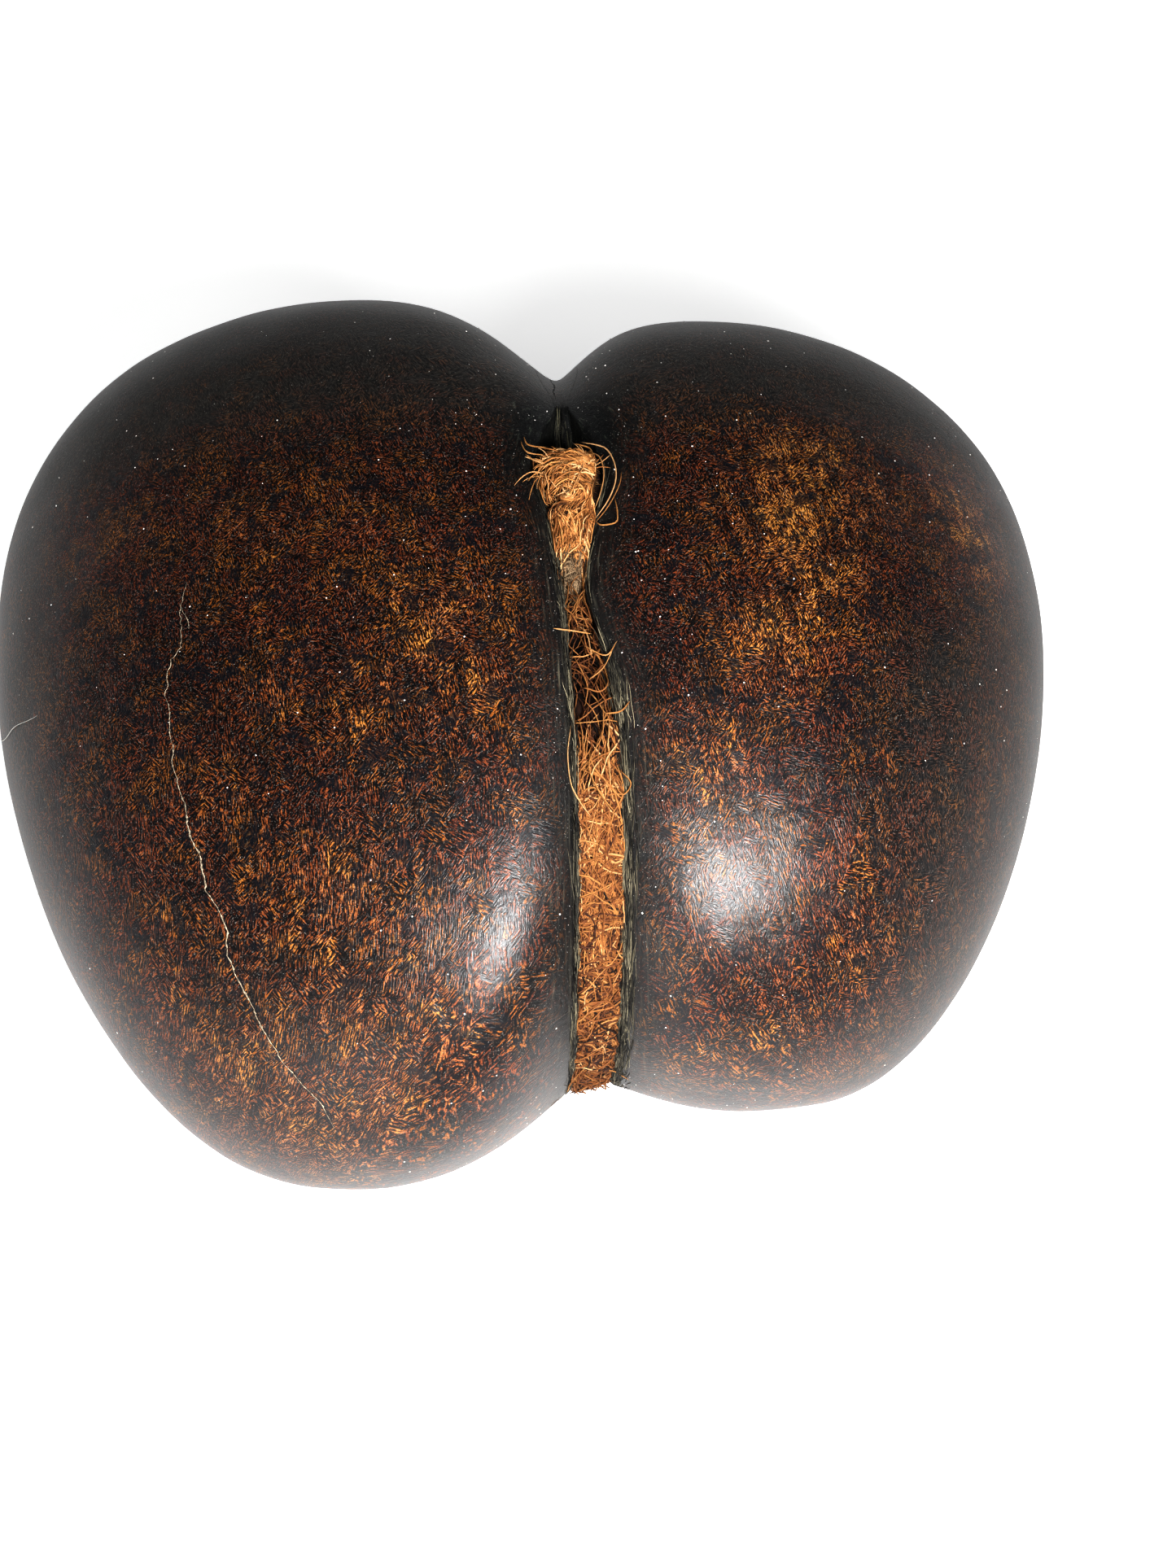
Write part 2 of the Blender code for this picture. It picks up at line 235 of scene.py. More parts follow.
def in_groove(degrees, x, height):
    """Points in the sinus in metres: x from its middle, height above its rims or the lobe's face."""
    v = np.radians(degrees)
    half, middle = slot_half_width(v), slot_middle(v)
    reach = np.maximum(np.abs(x), half)
    blend = np.clip((x / half + 1.0) / 2.0, 0.0, 1.0)
    rim = surface_radius(v, middle - reach) * (1.0 - blend) + surface_radius(v, middle + reach) * blend
    return nut_point(v, middle + x, rim + height)


# Finishes. Colours are sRGB hex values.

def linear(hex_colour):
    """An sRGB hex value as linear red, green, blue and alpha."""
    values = [int(hex_colour[i:i + 2], 16) / 255.0 for i in (1, 3, 5)]
    return tuple(v / 12.92 if v <= 0.04045 else ((v + 0.055) / 1.055) ** 2.4 for v in values) + (1.0,)


def add(tree, kind, links=(), stops=(), **settings):
    """Adds a node with its settings, its ramp's stops, and its inputs as nodes, sockets or values."""
    node = tree.nodes.new("ShaderNode" + kind)
    for name, value in settings.items():
        setattr(node, name, value)
    for name, value in links.items() if isinstance(links, dict) else enumerate(links):
        if isinstance(value, bpy.types.Node):
            value = next(socket for socket in value.outputs if socket.enabled)
        if isinstance(value, bpy.types.NodeSocket):
            tree.links.new(value, node.inputs[name])
        else:
            node.inputs[name].default_value = linear(value) if isinstance(value, str) else value
    for index, (place, colour) in enumerate(stops):
        elements = node.color_ramp.elements
        element = elements[index] if index < 2 else elements.new(place)
        element.position, element.color = place, linear(colour)
    return node


def new_material(name):
    """An empty material, as (material, function that adds a node to it, its coordinates in mm)."""
    made = bpy.data.materials.new(name)
    made.use_nodes = True
    made.node_tree.nodes.clear()
    new = functools.partial(add, made.node_tree)
    links = {0: new("TexCoord").outputs["Object"], "Scale": 1.0 / MM}
    return made, new, new("VectorMath", links, operation="SCALE").outputs[0]


def strokes(new, grain, turn, length_mm=1.5, width_mm=0.33):
    """Short felted fibres cut through by the polish, lying at one angle on the surface."""
    turned = new("Mapping", {"Vector": grain, "Rotation": (0.0, 0.0, math.radians(turn))})
    drawn = new("Mapping", {"Vector": turned, "Scale": (1.0 / length_mm, 1.0 / width_mm, 1.0)})
    return new("TexNoise", {"Vector": drawn, "Scale": 1.0, "Detail": 1.5, "Distortion": 0.5})


# Patterns in the shell: the noise's size in mm, its detail and roughness, and the stretch that shows.
PATTERNS = {
    "turned": (7.0, 2.0, 0.5, 0.46, 0.50), "turned_again": (7.0, 2.0, 0.5, 0.56, 0.60),
    "blotch": (5.0, 3.0, 0.6, 0.32, 0.68), "cloud": (34.0, 2.0, 0.5, 0.35, 0.65),
    "golden": (9.0, 3.0, 0.5, 0.46, 0.58), "pores": (0.4, 1.0, 0.5, 0.50, 0.37),
    "tips": (0.42, 1.0, 0.5, 0.62, 0.74), "stain": (5.0, 3.0, 0.65, 0.54, 0.60),
    "fleck": (0.36, 1.0, 0.5, 0.69, 0.75), "hollows": (1.8, 2.0, 0.5, 0.0, 1.0),
}
# How much each pattern adds to the shell's tone.
TONE_SHARES = {"cut": 0.62, "blotch": 0.13, "flow": 0.09, "cloud": 0.11, "glow": 0.36}
STROKE_TURNS, BROAD_SHARE = (12.0, -38.0, 68.0), 0.3
POLISH_ROUGHNESS, STROKE_ROUGHNESS, DULL_ROUGHNESS = 0.34, 0.16, 0.16


def polished_endocarp():
    """The shell is a palm seed's endocarp, as hard as wood, sanded, oiled and buffed.

    The eye gets a satin near-black brown, with cut fibres in it that glow rust and orange.
    """
    made, new, place = new_material("polished_endocarp")
    grain = new("Attribute", attribute_name="grain_mm").outputs["Vector"]
    drawn = {}
    for name in ("warm", "rim_wood_and_shade", "painted_shade_and_sheen", "pole", "painted_sinus_shade", "pit"):
        drawn[name] = new("Attribute", attribute_name=name).outputs["Fac"]
    for name, (size, detail, rough, low, high) in PATTERNS.items():
        noise = new("TexNoise", {
            "Vector": place, "Scale": 1.0 / size, "Detail": detail, "Roughness": rough})
        drawn[name] = new("MapRange", (noise, low, high))

    # Fibres in three directions, which change from one felted tuft to the next.
    lying = []
    for turn in STROKE_TURNS:
        broad = strokes(new, grain, turn, length_mm=2.4, width_mm=0.5)
        lying.append(new("Mix", {0: BROAD_SHARE, 2: strokes(new, grain, turn), 3: broad}))
    cut = new("Mix", {0: drawn["turned"], 2: lying[0], 3: lying[1]})
    cut = new("Mix", {0: drawn["turned_again"], 2: cut, 3: lying[2]})
    end_grain = new("TexNoise", {"Vector": place, "Scale": 1.0 / 0.7, "Detail": 2.0})
    cut = new("Mix", {0: drawn["pole"], 2: cut, 3: end_grain})

    # The tone rises with the fibres, and with soft blotches and warm patches.
    flow = strokes(new, grain, 6.0, length_mm=12.0, width_mm=3.0)
    drawn["cut"] = new("MapRange", (cut, 0.45, 0.575))
    drawn["flow"] = new("MapRange", (flow, 0.36, 0.64))
    streaky = new("Math", (drawn["blotch"], drawn["flow"]), operation="ADD")
    patchy = new("MapRange", (streaky, 0.55, 1.25, 0.15, 1.0))
    drawn["glow"] = new("Math", (drawn["warm"], patchy), operation="MULTIPLY")
    tone = 0.0
    for name, share in TONE_SHARES.items():
        tone = new("Math", (drawn[name], share, tone), operation="MULTIPLY_ADD")
    rust = new("ValToRGB", (tone,), stops=(
        (0.2, "#060506"), (0.4, "#120a0a"), (0.56, "#30160f"), (0.7, "#5c2a18"), (0.84, "#874626"),
        (1.0, "#ae7149")))
    amber = new("ValToRGB", (tone,), stops=(
        (0.2, "#070607"), (0.4, "#150d09"), (0.56, "#362010"), (0.7, "#6a3c17"), (0.84, "#9e6024"),
        (1.0, "#c9934b")))
    gilded = new("Math", (drawn["golden"], drawn["warm"]), operation="MAXIMUM")
    brown = new("Mix", {0: gilded, 6: rust, 7: amber}, data_type="RGBA")

    # Layers over the brown, from first to last: open pores between the fibres, fibre ends with polish
    # caught in them, blue-black tannin stains, charcoal grey painted shade and sheen at the base end, on
    # the outer cheeks and beside the smaller lobe's highlight, unpolished fibrous wood along the groove
    # darkened with painted shade where the lobes curve into it, painted shade deep in the sinus, the ripped
    # slope of the pit under painted shade, and dust.
    # Charcoal grey for the painted shade and sheen, lighter on the fibres.
    charcoal = new("ValToRGB", (cut,), stops=((0.44, "#121110"), (0.6, "#3b3732")))
    shade_patches = new("MapRange", (drawn["blotch"], 0.0, 0.7, 0.55, 1.0))
    patchy_painted_shade = new("Math", (drawn["painted_shade_and_sheen"], shade_patches), operation="MULTIPLY")
    # Along the groove: unpolished fibrous wood with grey-green streaks, and near-black painted shade where
    # the lobes curve down into the sinus.
    bare_wood_and_shade = new("ValToRGB", (strokes(new, grain, 0.0, length_mm=12.0, width_mm=0.6),), stops=(
        (0.4, "#080808"), (0.56, "#161513"), (0.68, "#302e28"), (0.8, "#5a5648")))
    # The pit's ripped slope: pale streaks of fibre, with near-black painted shade over the rest.
    torn_and_shade = new("ValToRGB", (strokes(new, grain, 0.0, length_mm=5.0, width_mm=0.8),), stops=(
        (0.45, "#040505"), (0.62, "#0b0e0d"), (0.78, "#474c42")))
    for amount, most, colour in (
            (drawn["pores"], 0.8, "#050404"), (drawn["tips"], 0.4, "#938c85"),
            (drawn["stain"], 0.85, "#0b0f15"), (patchy_painted_shade, 1.0, charcoal), (drawn["rim_wood_and_shade"], 1.0, bare_wood_and_shade),
            (drawn["painted_sinus_shade"], 1.0, "#060504"), (drawn["pit"], 1.0, torn_and_shade), (drawn["fleck"], 0.6, "#a09a92")):
        share = new("Math", (amount, most), operation="MULTIPLY")
        brown = new("Mix", {0: share, 6: brown, 7: colour}, data_type="RGBA")

    dull = new("Math", (drawn["rim_wood_and_shade"], drawn["pit"]), operation="MAXIMUM")
    dull = new("Math", (dull, drawn["painted_shade_and_sheen"]), operation="MAXIMUM")
    rough = new("Math", (cut, STROKE_ROUGHNESS, POLISH_ROUGHNESS), operation="MULTIPLY_ADD")
    rough = new("Math", (dull, DULL_ROUGHNESS, rough), operation="MULTIPLY_ADD")
    uneven = new("Bump", {"Strength": 0.6, "Distance": 0.14 * MM, "Height": drawn["hollows"]})
    ridged = new("Bump", {"Strength": 1.0, "Distance": 0.16 * MM, "Height": cut, "Normal": uneven})
    shader = new("BsdfPrincipled", {
        "Base Color": brown, "Roughness": rough, "Normal": ridged, "IOR": 1.47,
        "Coat Weight": 0.22, "Coat Roughness": 0.3, "Coat Normal": ridged})
    new("OutputMaterial", (shader,))
    return made


def coir(name, tones, roughness=0.8):
    """Coir is the husk's own fibre: dry, hard and matt, each strand in its own tone of tan."""
    made, new, place = new_material(name)
    tone = new("Attribute", attribute_name="tone").outputs["Fac"]
    weathered = new("TexNoise", {"Vector": place, "Scale": 1.0 / 1.8, "Detail": 3.0, "Roughness": 0.65})
    patch = new("MapRange", (weathered, 0.3, 0.7, -0.07, 0.07))
    tone = new("Math", (tone, patch), operation="ADD")
    colour = new("ValToRGB", (tone,), stops=tones)
    shader = new("BsdfPrincipled", {"Base Color": colour, "Roughness": roughness, "IOR": 1.45})
    new("OutputMaterial", (shader,))
    return made


COIR_TONES = ((0.0, "#0a0604"), (0.12, "#1c0f09"), (0.3, "#4a2817"), (0.5, "#83522b"), (0.72, "#a97945"),
              (0.95, "#cca67a"))
TUFT_TONES = ((0.0, "#0b0704"), (0.14, "#22130b"), (0.3, "#553319"), (0.5, "#976335"), (0.72, "#c58f55"),
              (0.95, "#e5bf90"))
RIM_TONES = ((0.05, "#131210"), (0.4, "#38352d"), (0.7, "#78715e"), (0.95, "#aca287"))
FLUFF_TONES = ((0.1, "#4a3a2a"), (0.5, "#8f775b"), (0.9, "#bfa888"))
SPLINTER_TONES = ((0.1, "#171815"), (0.5, "#47453a"), (0.9, "#8d876d"))


def plain(name, colour, roughness, second=None, glow=0.0):
    """A dull natural finish in one tone, or mottled between two, that may give light of its own."""
    made, new, place = new_material(name)
    mottled = new("TexNoise", {"Vector": place, "Scale": 1.0 / 0.8})
    tone = new("ValToRGB", (mottled,), stops=((0.35, colour), (0.65, second or colour)))
    shader = new("BsdfPrincipled", {
        "Base Color": tone, "Roughness": roughness, "Emission Color": "#ffffff", "Emission Strength": glow})
    new("OutputMaterial", (shader,))
    return made


# The shell.

AROUND = 500
FACE_ROWS, CHEEK_ROWS = 16, 64
SLOT_ROWS = ((0.0, 1.0), (0.2, 1.0), (0.4, 1.0), (0.6, 1.0), (0.76, 1.0), (0.87, 0.98), (0.93, 0.94),
             (0.955, 0.86), (0.965, 0.7), (0.975, 0.5), (0.985, 0.3), (1.0, 0.14), (1.03, 0.05),
             (1.09, 0.015), (1.18, 0.0))
RIM_WANDER = 0.35
GRAIN_RADIUS, GRAIN_ANGLE, ARC_RADIUS = 95.0, 60.0, 80.0
BAND_WIDTH, BAND_RAMP = 8.0, 12.0

# Painted shade and sheen, in charcoal grey, where the light falls away: degrees where it comes in and goes
# out at the base end, shares of the reach on the outer cheeks, and the front of the smaller lobe beside
# its highlight, from mm across and up to an angle. Warm patches lie clear of it.
PAINTED_SHADE_START, PAINTED_SHADE_START_RAMP, PAINTED_SHADE_END, PAINTED_SHADE_END_RAMP = 104.0, 24.0, 225.0, 40.0
CHEEK_START, CHEEK_RAMP, CHEEK_MOST = 0.78, 0.18, 0.75
SIDE_START, SIDE_RAMP, SIDE_ANGLE, SIDE_ANGLE_RAMP, SIDE_MOST = 58.0, 30.0, 72.0, 20.0, 0.6
CLEARED = 0.8
POLE_START, POLE_RAMP = 0.86, 0.1
# The pit's ripped slope, darkened with painted shade: angle and spread in degrees, width in mm, and
# strength.
TORN_SHADE_ANGLE, TORN_SHADE_SPREAD, TORN_SHADE_WIDTH, TORN_SHADE_MOST = 115.0, 12.0, 13.0, 2.2
# Depth in mm below the lobes' faces over which the sinus is painted black as shade.
DARK_DEPTH = 5.0

# Warm patches where the fibres show through the polish: angle, distance across, size, strength.
WARM_PATCHES = (
    (104, 60, 16, 0.9), (88, 54, 17, 1.0), (74, 58, 14, 0.9), (66, 42, 13, 0.7), (93, 76, 13, 0.6),
    (113, 50, 12, 0.5), (97, 104, 8, 0.9), (86, 108, 8, 1.0), (75, 110, 7, 0.7), (48, 26, 10, 0.5),
    (20, 70, 18, 0.35), (11, 44, 16, 0.45), (71, -43, 15, 0.55), (60, -32, 12, 0.6),
    (55, -54, 15, 0.5), (99, -60, 16, 0.35), (90, -80, 15, 0.35), (57, -76, 16, 0.35),
    (40, -84, 16, 0.4), (25, -60, 22, 0.5), (18, -48, 18, 0.5), (15, -80, 22, 0.45), (5, -60, 22, 0.4),
)


def row_ring(lobe, v, row):
    """Signed distance across and smooth radius of one ring of the shell, counted from the groove."""
    half, side = slot_half_width(v), lobe["side"]
    crest_x = ridge_distance(lobe, v)
    if row < len(SLOT_ROWS):
        width_share, depth_share = SLOT_ROWS[row]
        wander = RIM_WANDER * (np.sin(v * 41.0 + side) * 0.6 + np.sin(v * 97.0) * 0.4)
        x = half * width_share + wander * (slot_depth(v) / SLOT_DEPTH) * min(width_share, 1.0)
        x = slot_middle(v) + side * x
        return x, surface_radius(v, x) - slot_depth(v) * depth_share
    row -= len(SLOT_ROWS)
    first = side * slot_middle(v) + half * SLOT_ROWS[-1][0] + 0.6
    if row < FACE_ROWS:
        x = side * (first + (crest_x - first) * (row / FACE_ROWS) ** 1.15)
        return x, surface_radius(v, x)
    turn = (row - FACE_ROWS) / CHEEK_ROWS * math.pi / 2
    power = 2.0 / lobe["fullness"]
    x = side * (crest_x + (lobe["reach"] - crest_x) * math.sin(turn) ** power)
    radius = outline(v, lobe) * max(math.cos(turn), 0.0) ** power
    return x, radius + relief(v, x, radius)


def make_shell():
    """The nut, from a ball with its poles on the cheeks, at the form's full fineness."""
    rows = len(SLOT_ROWS) + FACE_ROWS + CHEEK_ROWS
    bm = bmesh.new()
    bmesh.ops.create_uvsphere(bm, u_segments=AROUND, v_segments=2 * rows, radius=1.0)
    mesh = bpy.data.meshes.new("polished_nut")
    bm.to_mesh(mesh)
    bm.free()
    count = len(mesh.vertices)
    ball = np.empty(count * 3)
    mesh.vertices.foreach_get("co", ball)
    ball = ball.reshape(-1, 3)
    lift = np.clip(ball[:, 2] / np.linalg.norm(ball, axis=1), -1.0, 1.0)
    row_of = np.rint(np.arcsin(lift) / (math.pi / 2) * rows).astype(int)
    v = np.radians(near_degrees(-np.arctan2(ball[:, 1], ball[:, 0])))
    x, radius = np.zeros(count), np.zeros(count)
    for row in range(-rows, rows + 1):
        lobe = LEFT if row < 0 else RIGHT
        chosen = row_of == row
        x[chosen], radius[chosen] = row_ring(lobe, v[chosen], abs(row))
    points = nut_point(v, x, radius)
    points[:, 2] = np.maximum(points[:, 2], FLOOR_Z)
    mesh.vertices.foreach_set("co", points.ravel())
    mesh.update()

    degrees = near_degrees(v)
    beside = np.abs(x - slot_middle(v)) - slot_half_width(v)
    in_slot = smooth_step((degrees - SLOT_START) / BAND_RAMP)
    in_slot *= smooth_step((SLOT_END + BAND_WIDTH - degrees) / BAND_RAMP)
    warm = np.zeros(count)
    for angle, across, size, strength in WARM_PATCHES:
        away = np.hypot((degrees - angle) * math.pi / 180.0 * ARC_RADIUS, x - across)
        warm = np.maximum(warm, strength * np.exp(-(away / size) ** 2))
    outward = np.abs(x) / np.where(x < 0, LEFT["reach"], RIGHT["reach"])
    at_base = smooth_step((degrees - PAINTED_SHADE_START) / PAINTED_SHADE_START_RAMP)
    at_base *= smooth_step((PAINTED_SHADE_END - degrees) / PAINTED_SHADE_END_RAMP)
    on_cheek = smooth_step((outward - CHEEK_START) / CHEEK_RAMP) * CHEEK_MOST
    at_side = smooth_step((x - SIDE_START) / SIDE_RAMP)
    at_side *= smooth_step((SIDE_ANGLE - degrees) / SIDE_ANGLE_RAMP) * SIDE_MOST
    # Painted shade and sheen: the base end, the outer cheeks and the smaller lobe beside its highlight are
    # painted darker and greyer.
    painted_shade_and_sheen = np.maximum(np.maximum(at_base, on_cheek), at_side)
    torn_and_shade = TORN_SHADE_MOST * bump(degrees, TORN_SHADE_ANGLE, TORN_SHADE_SPREAD) * bump(x, 0.0, TORN_SHADE_WIDTH)
    marks = {
        # Painted shade and real unpolished wood, in a band along both rims of the sinus.
        "rim_wood_and_shade": np.exp(-(np.clip(beside, 0.0, None) / BAND_WIDTH) ** 2) * in_slot,
        "warm": warm,
        "painted_shade_and_sheen": painted_shade_and_sheen * (1.0 - CLEARED * warm),
        "pole": smooth_step((outward - POLE_START) / POLE_RAMP),
        # The pit: pale ripped fibre and painted shade.
        "pit": np.minimum(1.0, torn_and_shade),
        # Painted shade: black deeper below the lobes' faces, inside the sinus.
        "painted_sinus_shade": smooth_step((surface_radius(v, x) - radius) / DARK_DEPTH) * (beside < 1.0),
    }
    for name, values in marks.items():
        mark(mesh, name, values)

    # Distance along the surface, round the nut and across it, is what the grain follows.
    v_mid = np.array([math.radians(GRAIN_ANGLE)])
    ring_places = []
    for row in range(-rows, rows + 1):
        lobe = LEFT if row < 0 else RIGHT
        ring_x, ring_radius = row_ring(lobe, v_mid, abs(row))
        ring_places.append(form_point(v_mid, ring_x, ring_radius)[0])
    steps = np.linalg.norm(np.diff(np.array(ring_places), axis=0), axis=1)
    along = np.concatenate([[0.0], np.cumsum(steps)])
    corner = np.empty(len(mesh.loops), int)
    mesh.loops.foreach_get("vertex_index", corner)
    sizes = np.empty(len(mesh.polygons), int)
    mesh.polygons.foreach_get("loop_total", sizes)
    starts = starts_of(sizes)
    corner_v = v[corner]
    lowest = np.repeat(np.minimum.reduceat(corner_v, starts), sizes)
    highest = np.repeat(np.maximum.reduceat(corner_v, starts), sizes)
    over_seam = (highest - lowest > math.pi) & (corner_v < math.pi / 2)
    corner_v = np.where(over_seam, corner_v + 2 * math.pi, corner_v)
    grain = np.stack([corner_v * GRAIN_RADIUS, along[row_of[corner] + rows], np.zeros(len(corner))], axis=1)
    mesh.attributes.new("grain_mm", "FLOAT_VECTOR", "CORNER").data.foreach_set(
        "vector", grain.astype(np.float32).ravel())
    mesh.shade_smooth()
    finish_piece("polished_nut", mesh, polished_endocarp(), node="nut_shell")


def starts_of(sizes):
    """Where each face's corners start, from the faces' sizes."""
    return np.concatenate([[0], np.cumsum(sizes)[:-1]])


def mark(mesh, name, values):
    """Writes one value for each point of a mesh, for its finish to read."""
    made = mesh.attributes.new(name, "FLOAT", "POINT")
    made.data.foreach_set("value", np.asarray(values, np.float32).ravel())


def link_new(name, data):
    """A new object in the scene."""
    made = bpy.data.objects.new(name, data)
    scene.collection.objects.link(made)
    return made


def finish_piece(name, mesh, finish, node=None):
    """Gives a piece its finish, sets it on the root body, and hides the model's part it stands for, if any.
    """
    mesh.materials.append(finish)
    made = link_new(name, mesh)
    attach(made, "root")
    if node:
        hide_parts(node)


# The coir left in the sinus. Paths are laid out in mm along the groove and across it.

def groove_arc():
    """Angles along the groove, and how far in mm each lies from the first."""
    degrees = np.linspace(-70.0, 140.0, 420)
    v = np.radians(degrees)
    line = form_point(v, np.zeros_like(v), outline(v, VALLEY))
    steps = np.linalg.norm(np.diff(line, axis=0), axis=1)
    return degrees, np.concatenate([[0.0], np.cumsum(steps)])


ARC_DEGREES, ARC_MM = groove_arc()


def arc_of(degrees):
    """Distance along the groove of an angle."""
    return np.interp(degrees, ARC_DEGREES, ARC_MM)


def angle_at(arc):
    """Angle of a distance along the groove."""
    return np.interp(arc, ARC_MM, ARC_DEGREES)


# Top of the mat above the rim of the sinus, in mm, through these angles.
MAT_ANGLES = (-58.0, -50.0, -44.0, 40.0, 52.0, 57.0, 61.0, 76.0, 80.0, 86.0, 98.0, 107.0, 111.5, 116.0)
MAT_TOPS = (-12.0, -5.0, -0.9, -0.7, -0.9, -3.0, -10.0, -9.0, -2.6, 0.6, 3.2, 2.6, -2.0, -10.0)
MAT_DOME = 0.9
MAT_LUMPS = ((0.35, 0.83, 0.5), (0.25, 1.9, -0.9))
PIT_DOME, PIT_DOME_ANGLE, PIT_DOME_SPREAD = 1.6, 102.0, 10.0
WALL_GAP, TURN_BACK = 0.5, 0.6


def mat_top(degrees, x):
    """Height of the mat's top: level in the dense part, sunken at the pinch, domed in the pit."""
    share = x / slot_half_width(np.radians(degrees))
    dome = MAT_DOME * (1.0 + PIT_DOME * bump(degrees, PIT_DOME_ANGLE, PIT_DOME_SPREAD))
    lumps = sum(height * np.sin(degrees * turn + x * slant) for height, turn, slant in MAT_LUMPS)
    return np.interp(degrees, MAT_ANGLES, MAT_TOPS) + lumps - dome * share ** 2


def half_at(arc):
    """Half the width of the sinus at a distance along the groove."""
    return slot_half_width(np.radians(angle_at(arc)))


def run_of(points):
    """Even shares of a strand's length from its root to its tip, as one row."""
    return np.linspace(0.0, 1.0, points)[None, :]


def roots(rng, form):
    """Distances along the groove where the strands of one form begin."""
    first, last = form["angles"]
    return rng.uniform(arc_of(first), arc_of(last), form["count"])


def both_ways(rng, spread, count):
    """Headings, half of them up the groove and half down it."""
    return rng.normal(0.0, spread, count) + np.where(rng.random(count) < 0.5, 0.0, math.pi)


def wander(rng, count, arc, x, heading, length, points, turn, curl, spill=0.0):
    """Paths that drift and curl, and turn back at the walls: arrays of places along and across."""
    step = length / (points - 1)
    steady = rng.normal(0.0, curl, count)
    along, across = np.empty((2, count, points))
    along[:, 0], across[:, 0] = arc, x
    heading = np.array(heading, float)
    for index in range(1, points):
        heading += steady + rng.normal(0.0, turn, count)
        along[:, index] = along[:, index - 1] + step * np.cos(heading)
        across[:, index] = across[:, index - 1] + step * np.sin(heading)
        limit = half_at(along[:, index]) - WALL_GAP + spill
        over = np.abs(across[:, index]) > limit
        across[:, index] = np.clip(across[:, index], -limit, limit)
        heading = np.where(over, -TURN_BACK * heading, heading)
    return along, across


def grid_faces(rows, columns, closed=True):
    """Four-cornered faces between rows of points, round each row or only along it."""
    base = (np.arange(rows - 1) * columns)[:, None]
    here = np.arange(columns if closed else columns - 1)[None, :]
    after = (here + 1) % columns
    corners = (base + here, base + after, base + columns + after, base + columns + here)
    return np.stack(corners, axis=-1).reshape(-1, 4)


ASLANT = np.array((0.31, 0.22, 0.93))
BLUNT_TIP, TAPER = 0.25, 5.0


def tubes(name, paths, radius, tone, finish, node=None):
    """One piece of many thin three-sided strands that taper at both ends."""
    count, points = paths.shape[:2]
    tangent = unit(np.gradient(paths, axis=1))
    side = unit(np.cross(tangent, ASLANT))
    rise = np.cross(side, tangent)
    t = np.linspace(0.0, 1.0, points)
    taper = np.clip(BLUNT_TIP + TAPER * np.minimum(t, 1.0 - t), BLUNT_TIP, 1.0)
    thick = (np.asarray(radius)[:, None] * taper * MM)[:, :, None]
    ring = [paths + thick * (math.cos(a) * side + math.sin(a) * rise)
            for a in (math.pi / 2, math.pi * 7 / 6, math.pi * 11 / 6)]
    corners = np.stack(ring, axis=2)

    start = np.arange(count) * points * 3
    last = start + (points - 1) * 3
    quads = (start[:, None, None] + grid_faces(points, 3)).reshape(-1, 4)
    caps = np.concatenate([np.stack([start + 2, start + 1, start], axis=1),
                           np.stack([last, last + 1, last + 2], axis=1)])
    mesh = mesh_of(name, corners.reshape(-1, 3), quads, caps)
    mark(mesh, "tone", np.repeat(tone, points * 3))
    finish_piece(name, mesh, finish, node)


def draw(name, rng, paths, form, finish, shade=0.0, node="husk_fibre"):
    """A piece of strands, each with a thickness and a tone of its own."""
    radius = rng.uniform(*form["radius"], len(paths))
    tone = rng.normal(*form["tone"], len(paths)) + shade
    tubes(name, paths, radius, tone, finish, node)


def mesh_of(name, points, quads=np.empty((0, 4), int), triangles=np.empty((0, 3), int)):
    """A smooth mesh from arrays of points, four-cornered faces and three-cornered faces."""
    mesh = bpy.data.meshes.new(name)
    mesh.vertices.add(len(points))
    mesh.vertices.foreach_set("co", np.ascontiguousarray(points, np.float32).ravel())
    corners = np.concatenate([quads.ravel(), triangles.ravel()]).astype(np.int32)
    sizes = np.concatenate([np.full(len(quads), 4), np.full(len(triangles), 3)])
    mesh.loops.add(len(corners))
    mesh.loops.foreach_set("vertex_index", corners)
    mesh.polygons.add(len(sizes))
    mesh.polygons.foreach_set("loop_start", starts_of(sizes).astype(np.int32))
    mesh.update(calc_edges=True)
    mesh.validate()
    mesh.shade_smooth()
    return mesh


def laid(along, across, above):
    """Paths in metres from places along and across the groove, above the top of the mat."""
    degrees = angle_at(along)
    return in_groove(degrees, across, mat_top(degrees, across) + above)


RIPPLE, RIPPLE_TURNS, RIPPLE_PHASES = 0.18, (4.0, 14.0), (0.0, 6.3)
END_TUCK = 0.7


def layered(rng, layer, points, arch):
    """Heights of strands over the mat: each on its own layer, arched, with its ends tucked in."""
    count, t = len(layer), run_of(points)
    bow = arch * rng.random(count)[:, None] * 4.0 * t * (1.0 - t)
    turns = rng.uniform(*RIPPLE_TURNS, count)[:, None]
    phases = rng.uniform(*RIPPLE_PHASES, count)[:, None]
    ripple = RIPPLE * np.sin(t * turns + phases)
    return layer[:, None] + bow + ripple - END_TUCK * (2.0 * t - 1.0) ** 8


